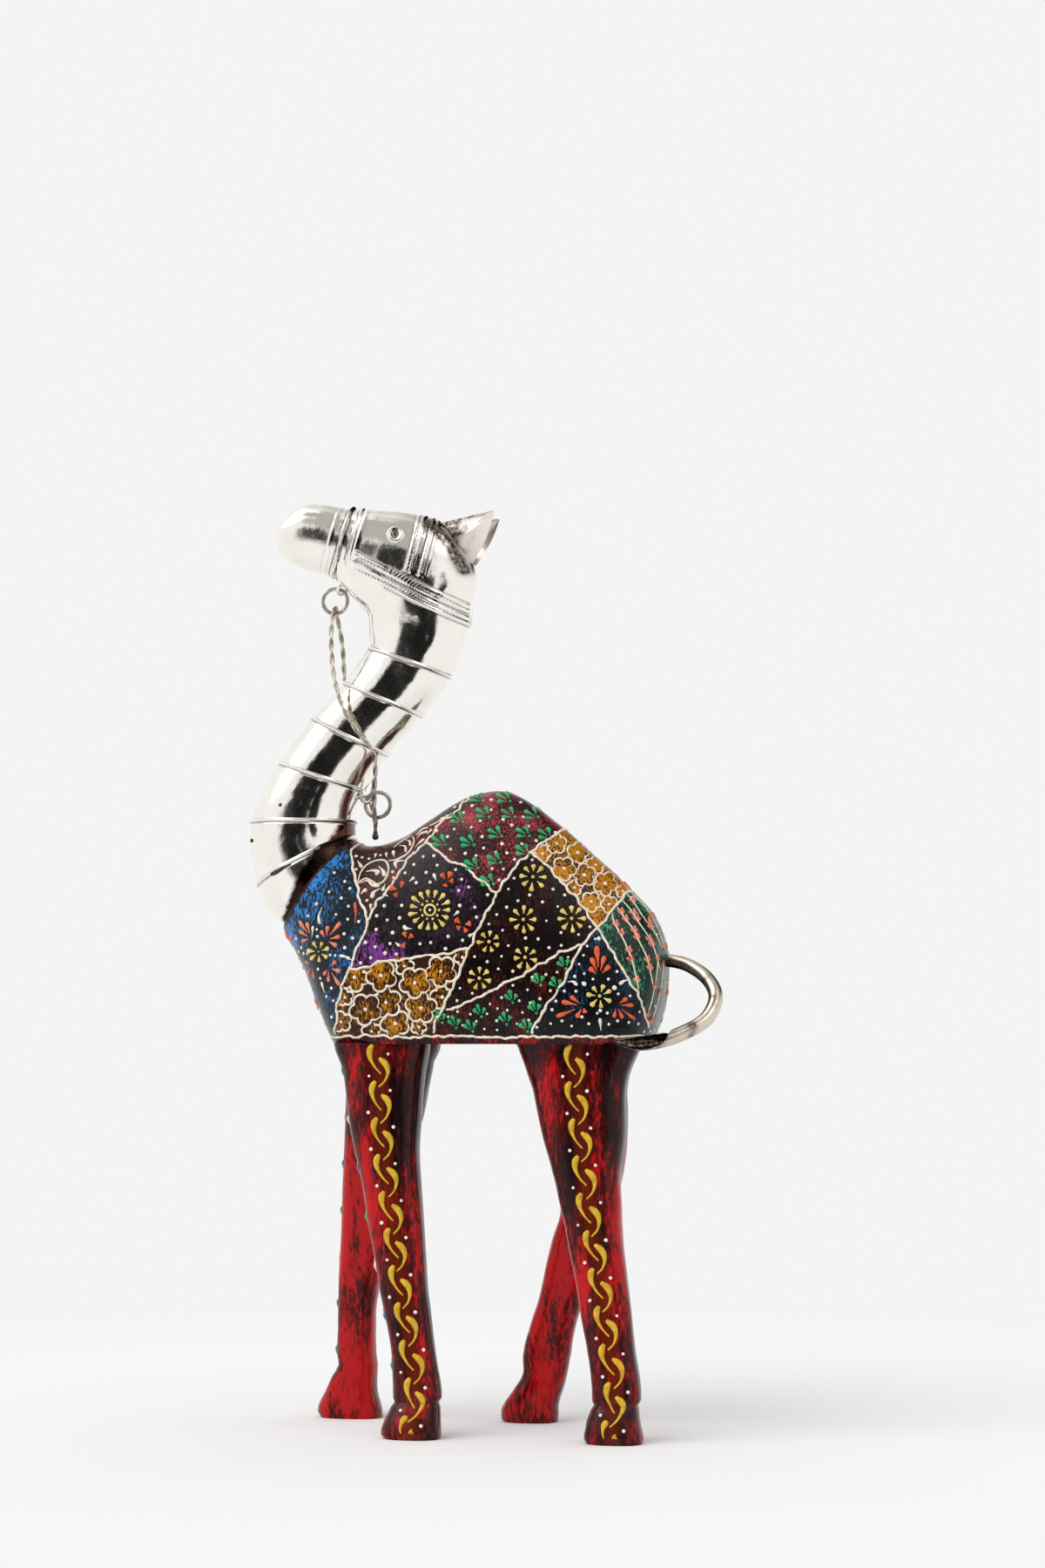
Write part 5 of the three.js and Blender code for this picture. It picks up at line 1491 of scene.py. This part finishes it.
# Muzzle: the sheet beaten over the end of the head like a cap
last = len(NECK) - 1
s_values = np.linspace(MUZZLE_START, last, MUZZLE_RINGS)
points, out = skin_grid(NECK, s_values, HEAD_ROUND)
height, stain_and_painted_shade = worked(points, np.full(points.shape[:2], 99.0), True)
dents = np.array([[waves(p, 8.0, 0.16) for p in row] for row in points])
outer = points + out * (height + dents)[..., None]
tip = outer[-1].mean(axis=0)
nose = [
    tip + (outer[-1] - tip) * share + np.array((-0.6 * (1 - share**2), 0, 0))
    for share in (0.75, 0.5, 0.25, 0.08)
]
inner = [points[k] - out[k] * SHEET for k in (-2, -30, -60, -100, 0)]
shell = np.concatenate((outer, nose, inner)).reshape(-1, 3)
muzzle = make_piece(
    "polished_muzzle_sheet", shell, loft_faces(len(outer) + len(nose) + len(inner), HEAD_ROUND, closed=True),
    [sheet_metal], "white_metal", sharp=60, stands_for=["muzzle_sheet"],
)
keep_stain_and_painted_shade(muzzle, stain_and_painted_shade)

# Ears
# Each is a leaf of sheet folded along its middle, with its foot cut to the back of the head. It is darker
# at its foot, the upper half of its outer face is darkened as painted shade, and the tip of the right one
# is bent down.
EAR_TIP = (3.8, 4.5, 300.3)
EAR_FOLD = (0.9, 2.7, -1.0)
RIGHT_EAR_DROP = 1.5
ear_metal = polished_sheet(
    "nickel_silver_sheet_with_painted_shade", stain_and_painted_shade="#2B1D15", light="#EFE8E1", grey="#D8CEC6", polish=(0.3, 0.42),
)


def ear(name, side, lowered):
    """A leaf of sheet from its foot to its tip, as a closed thin shell."""
    foot = [np.array((x, side * y, z)) for x, y, z in EAR_FOOT]
    tip = np.array((EAR_TIP[0], side * EAR_TIP[1], EAR_TIP[2] - lowered))
    along = np.concatenate((np.linspace(0.04, 0.9, 22), [0.93, 0.96, 0.985]))
    across = np.linspace(0, 1, 19)
    outside = []
    for share in along:
        row = []
        for v in across:
            ends = (foot[0], foot[1]) if v < 0.5 else (foot[1], foot[2])
            t = v * 2 if v < 0.5 else v * 2 - 1
            start = ends[0] * (1 - t) + ends[1] * t
            point = start * (1 - share) + tip * share
            swell = math.sin(math.pi * min(1, share))
            fold = 1 - abs(2 * v - 1)
            point = point + np.array(EAR_FOLD) * (1, side, 1) * swell * fold
            point[0] += 1.3 * swell * max(0, 2 * v - 1) ** 2
            point[1] += side * 0.5 * swell * math.sin(math.pi * t)
            row.append(point)
        outside.append(row)
    outside = np.array(outside)
    inside_of = outside + np.array((0.1, -side * SHEET, 0))
    rings = np.concatenate((outside, inside_of[:, ::-1]), axis=1)
    shell = rings.reshape(-1, 3)
    folded_ear = make_piece(
        f"folded_{name}", shell, loft_faces(len(along), rings.shape[1]), [ear_metal], "white_metal", sharp=35,
        stands_for=[name],
    )
    share, v = np.meshgrid(along, np.concatenate((across, across[::-1])), indexing="ij")
    ragged = np.array([[1 + waves(p, 2.5, 0.9) for p in row] for row in rings])
    # Darker at the foot of the ear; the upper half of the outer face is painted shade, the side light reaches
    # less
    darker_foot = 1.3 * np.exp(-((share * ragged / (0.26 - 0.16 * v)) ** 2))
    shaded_facet = 0.5 * (v < 0.48)
    shaded_facet[:, len(across) :] = 0
    keep_stain_and_painted_shade(folded_ear, np.clip(darker_foot + shaded_facet, 0, 1))


ear("left_ear", -1, 0)
ear("right_ear", 1, RIGHT_EAR_DROP)

# Eyes
# Each is a turned stud of white metal, a dished cup with a domed middle. Its shank is driven through
# the sheet into the wood. Its domed middle is coloured dark, a painted reflection of a dark room.
EYE_STATION = 18.9
EYE_ANGLE = 1.94
EYE_PROFILE = [
    (0.55, -5.9), (0.55, 0.25), (2.7, 0.25), (2.86, 0.38), (2.92, 0.6), (2.75, 0.92), (2.4, 1.08),
    (1.95, 0.9), (1.55, 0.76), (1.2, 0.74), (1.05, 0.95), (0.92, 1.22), (0.6, 1.46), (0.3, 1.55),
    (0.04, 1.57),
]
eye_metal = polished_sheet("polished_nickel_silver_stud", stain_and_painted_shade="#3A3029")
for name, angle in (("left_eye", EYE_ANGLE), ("right_eye", -EYE_ANGLE)):
    s = np.array([[EYE_STATION]])
    point = skin(NECK, s, np.array([[angle]]))[0, 0]
    step = 0.02
    along = skin(NECK, s + step, np.array([[angle]]))[0, 0] - skin(NECK, s - step, np.array([[angle]]))[0, 0]
    about = skin(NECK, s, np.array([[angle + step]]))[0, 0] - skin(NECK, s, np.array([[angle - step]]))[0, 0]
    axis = np.cross(along, about)
    axis = axis / np.linalg.norm(axis)
    if axis[1] * point[1] < 0:
        axis = -axis
    side = along / np.linalg.norm(along)
    other = np.cross(axis, side)
    points = []
    for radius, height in EYE_PROFILE:
        for i in range(48):
            turn = math.tau * i / 48
            points.append(point + axis * height + radius * (math.cos(turn) * side + math.sin(turn) * other))
    stud = make_piece(
        f"turned_{name}", points, loft_faces(len(EYE_PROFILE), 48), [eye_metal], "white_metal", sharp=50,
        stands_for=[name],
    )
    # Painted reflection: the domed middle dark, as polished metal mirroring a dark room
    keep_stain_and_painted_shade(
        stud,
        np.repeat([0.9 if radius < 1.3 and height > 0.5 else 0.0 for radius, height in EYE_PROFILE], 48),
    )

# Tail
# Sheet rolled into a tube and bent in an open loop, its foot stuck in the rump. Near its end the seam
# opens into a leaf-shaped mouth. Its inside is coloured dark brown as painted shade, and its outside is
# darker at the seam edges and the foot, and in patches.
TAIL = [
    (54.9, 0, 152.2, 2.0, 168), (60.1, -0.2, 151.9, 2.1, 168), (67.5, -3.0, 150.3, 2.2, 166),
    (74.7, -8.5, 145.9, 2.3, 164), (78.3, -13.5, 139.8, 2.35, 162), (75.9, -18.5, 132.7, 2.4, 160),
    (68.2, -22.5, 127.9, 2.4, 150), (60.8, -25.2, 125.6, 2.4, 112), (54.5, -26.8, 125.1, 2.2, 88),
    (48.0, -27.8, 125.8, 0.5, 80),
]
TAIL_CENTRE = np.array((64, -10, 139))
tail_metal = polished_sheet(
    "stained_and_shaded_nickel_silver_sheet", stain_and_painted_shade="#2B1812", light="#E4DACB", grey="#BFB19E", polish=(0.2, 0.34),
)
tail_steps = 110
tail_arc = 16
last = len(TAIL) - 1
points = []
stain_and_painted_shade = []
for k in range(tail_steps + 1):
    s = last * k / tail_steps
    x, y, z, half, rolled = smoothed(TAIL, np.array(s))
    middle = np.array((x, y, z))
    after = smoothed(TAIL, np.array(min(last, s + 0.05)))[:3]
    before = smoothed(TAIL, np.array(max(0, s - 0.05)))[:3]
    tangent = (after - before) / np.linalg.norm(after - before)
    towards = TAIL_CENTRE - middle
    towards = towards / np.linalg.norm(towards)
    t = min(1, max(0, (s - last + 3.4) / 1.8))
    opened = t * t * (3 - 2 * t)
    towards = towards * (1 - opened) + np.array((0, -1, 0.25)) * opened
    towards = towards - tangent * float(towards @ tangent)
    towards = towards / np.linalg.norm(towards)
    sideways = np.cross(tangent, towards)
    spread = math.radians(rolled)
    for radius, way in ((half, 1), (max(half - SHEET, 0.12), -1)):
        for i in range(tail_arc + 1):
            turn = way * spread * (1 - 2 * i / tail_arc)
            point = middle - radius * math.cos(turn) * towards + radius * math.sin(turn) * sideways
            points.append(point)
            edge = abs(1 - 2 * i / tail_arc) ** 6
            root = 1.2 * math.exp(-((s / 1.7) ** 2)) * (1 if i < tail_arc / 2 else 0.5)
            patch = max(0, 2.2 * noise.noise(Vector(point) / 3.5) - 0.35)
            # The inside of the tube is painted shade; the outside is darker at the edges, at the foot and in
            # patches
            stain_and_painted_shade.append(1.0 if way < 0 else min(1, 0.7 * edge + root + patch))
tail_piece = make_piece(
    "rolled_tail", points, loft_faces(tail_steps + 1, 2 * (tail_arc + 1)), [tail_metal], "white_metal",
    sharp=50, stands_for=["tail"],
)
keep_stain_and_painted_shade(tail_piece, np.array(stain_and_painted_shade))

# Wire loops and rings
# Two loops of flattened bright wire are driven through the sheet, and a ring of drawn wire is closed
# with solder through each.
RING_RADIUS = 4.2
RING_WIRE = 0.65
LOOP_RADIUS = 1.74
LOOP_WIRE = 0.55
LOOP_FLATTENED = (0.85, 1.05)
LOOP_TURN = math.pi / 6
CHIN_LOOP = Vector((-49.2, 0, 275.8))
CHIN_RING = Vector((-51.5, 0, 272.1))
NECK_LOOP = Vector((-40.5, 0, 205.6))
NECK_RING = Vector((-36.6, 0, 203.8))
loop_metal = polished_sheet("bright_flattened_wire", stain_and_painted_shade="#5A4030")

for name, centre in (("chin_ring", CHIN_RING), ("neck_ring", NECK_RING)):
    points = []
    for k in range(96):
        angle = math.tau * k / 96
        radius = RING_RADIUS + 0.03 * math.sin(2 * angle + 1) + 0.02 * math.sin(3 * angle)
        out_way = Vector((math.cos(angle), 0, math.sin(angle)))
        for i in range(14):
            turn = math.tau * i / 14
            wire = RING_WIRE * (1 + 0.25 * math.exp(-(((angle - 5.6) / 0.08) ** 2)))
            points.append(
                centre + out_way * (radius + wire * math.cos(turn)) + Vector((0, wire * math.sin(turn), 0))
            )
    make_piece(
        f"wire_{name}", points, loft_faces(96, 14, closed=True), [wire_metal], "wire", name,
        stands_for=[name],
    )

for name, centre, ring, outward in (
    ("chin_eyelet", CHIN_LOOP, CHIN_RING, Vector((0, 0, -1))),
    ("neck_eyelet", NECK_LOOP, NECK_RING, Vector((0.95, 0, -0.3))),
):
    way = (ring - centre).normalized()
    square = Vector((way.z, 0, -way.x))
    axis = square * math.cos(LOOP_TURN) + Vector((0, math.sin(LOOP_TURN), 0))
    inward = -outward - axis * (-outward).dot(axis)
    inward.normalize()
    other = axis.cross(inward)
    points = []
    for k in range(48):
        angle = math.tau * k / 48
        out_way = inward * math.cos(angle) + other * math.sin(angle)
        for i in range(16):
            turn = math.tau * i / 16
            flat_way = float(rounded(math.cos(turn), 3.0)) * LOOP_WIRE * LOOP_FLATTENED[0]
            flat_side = float(rounded(math.sin(turn), 3.0)) * LOOP_WIRE * LOOP_FLATTENED[1]
            points.append(centre + out_way * (LOOP_RADIUS + flat_way) + axis * flat_side)
    faces = loft_faces(48, 16, closed=True)
    start = centre + inward * LOOP_RADIUS
    shank, shank_faces = tube(
        [tuple(start + inward * h) for h in (0, 0.6, 1.2, 2, 4, 7.8)], [0.85, 0.8, 0.6, 0.45, 0.45, 0.45], 12,
        first=len(points),
    )
    make_piece(
        f"looped_{name}", [*points, *shank], [*faces, *shank_faces], [loop_metal], "wire", stands_for=[name],
    )
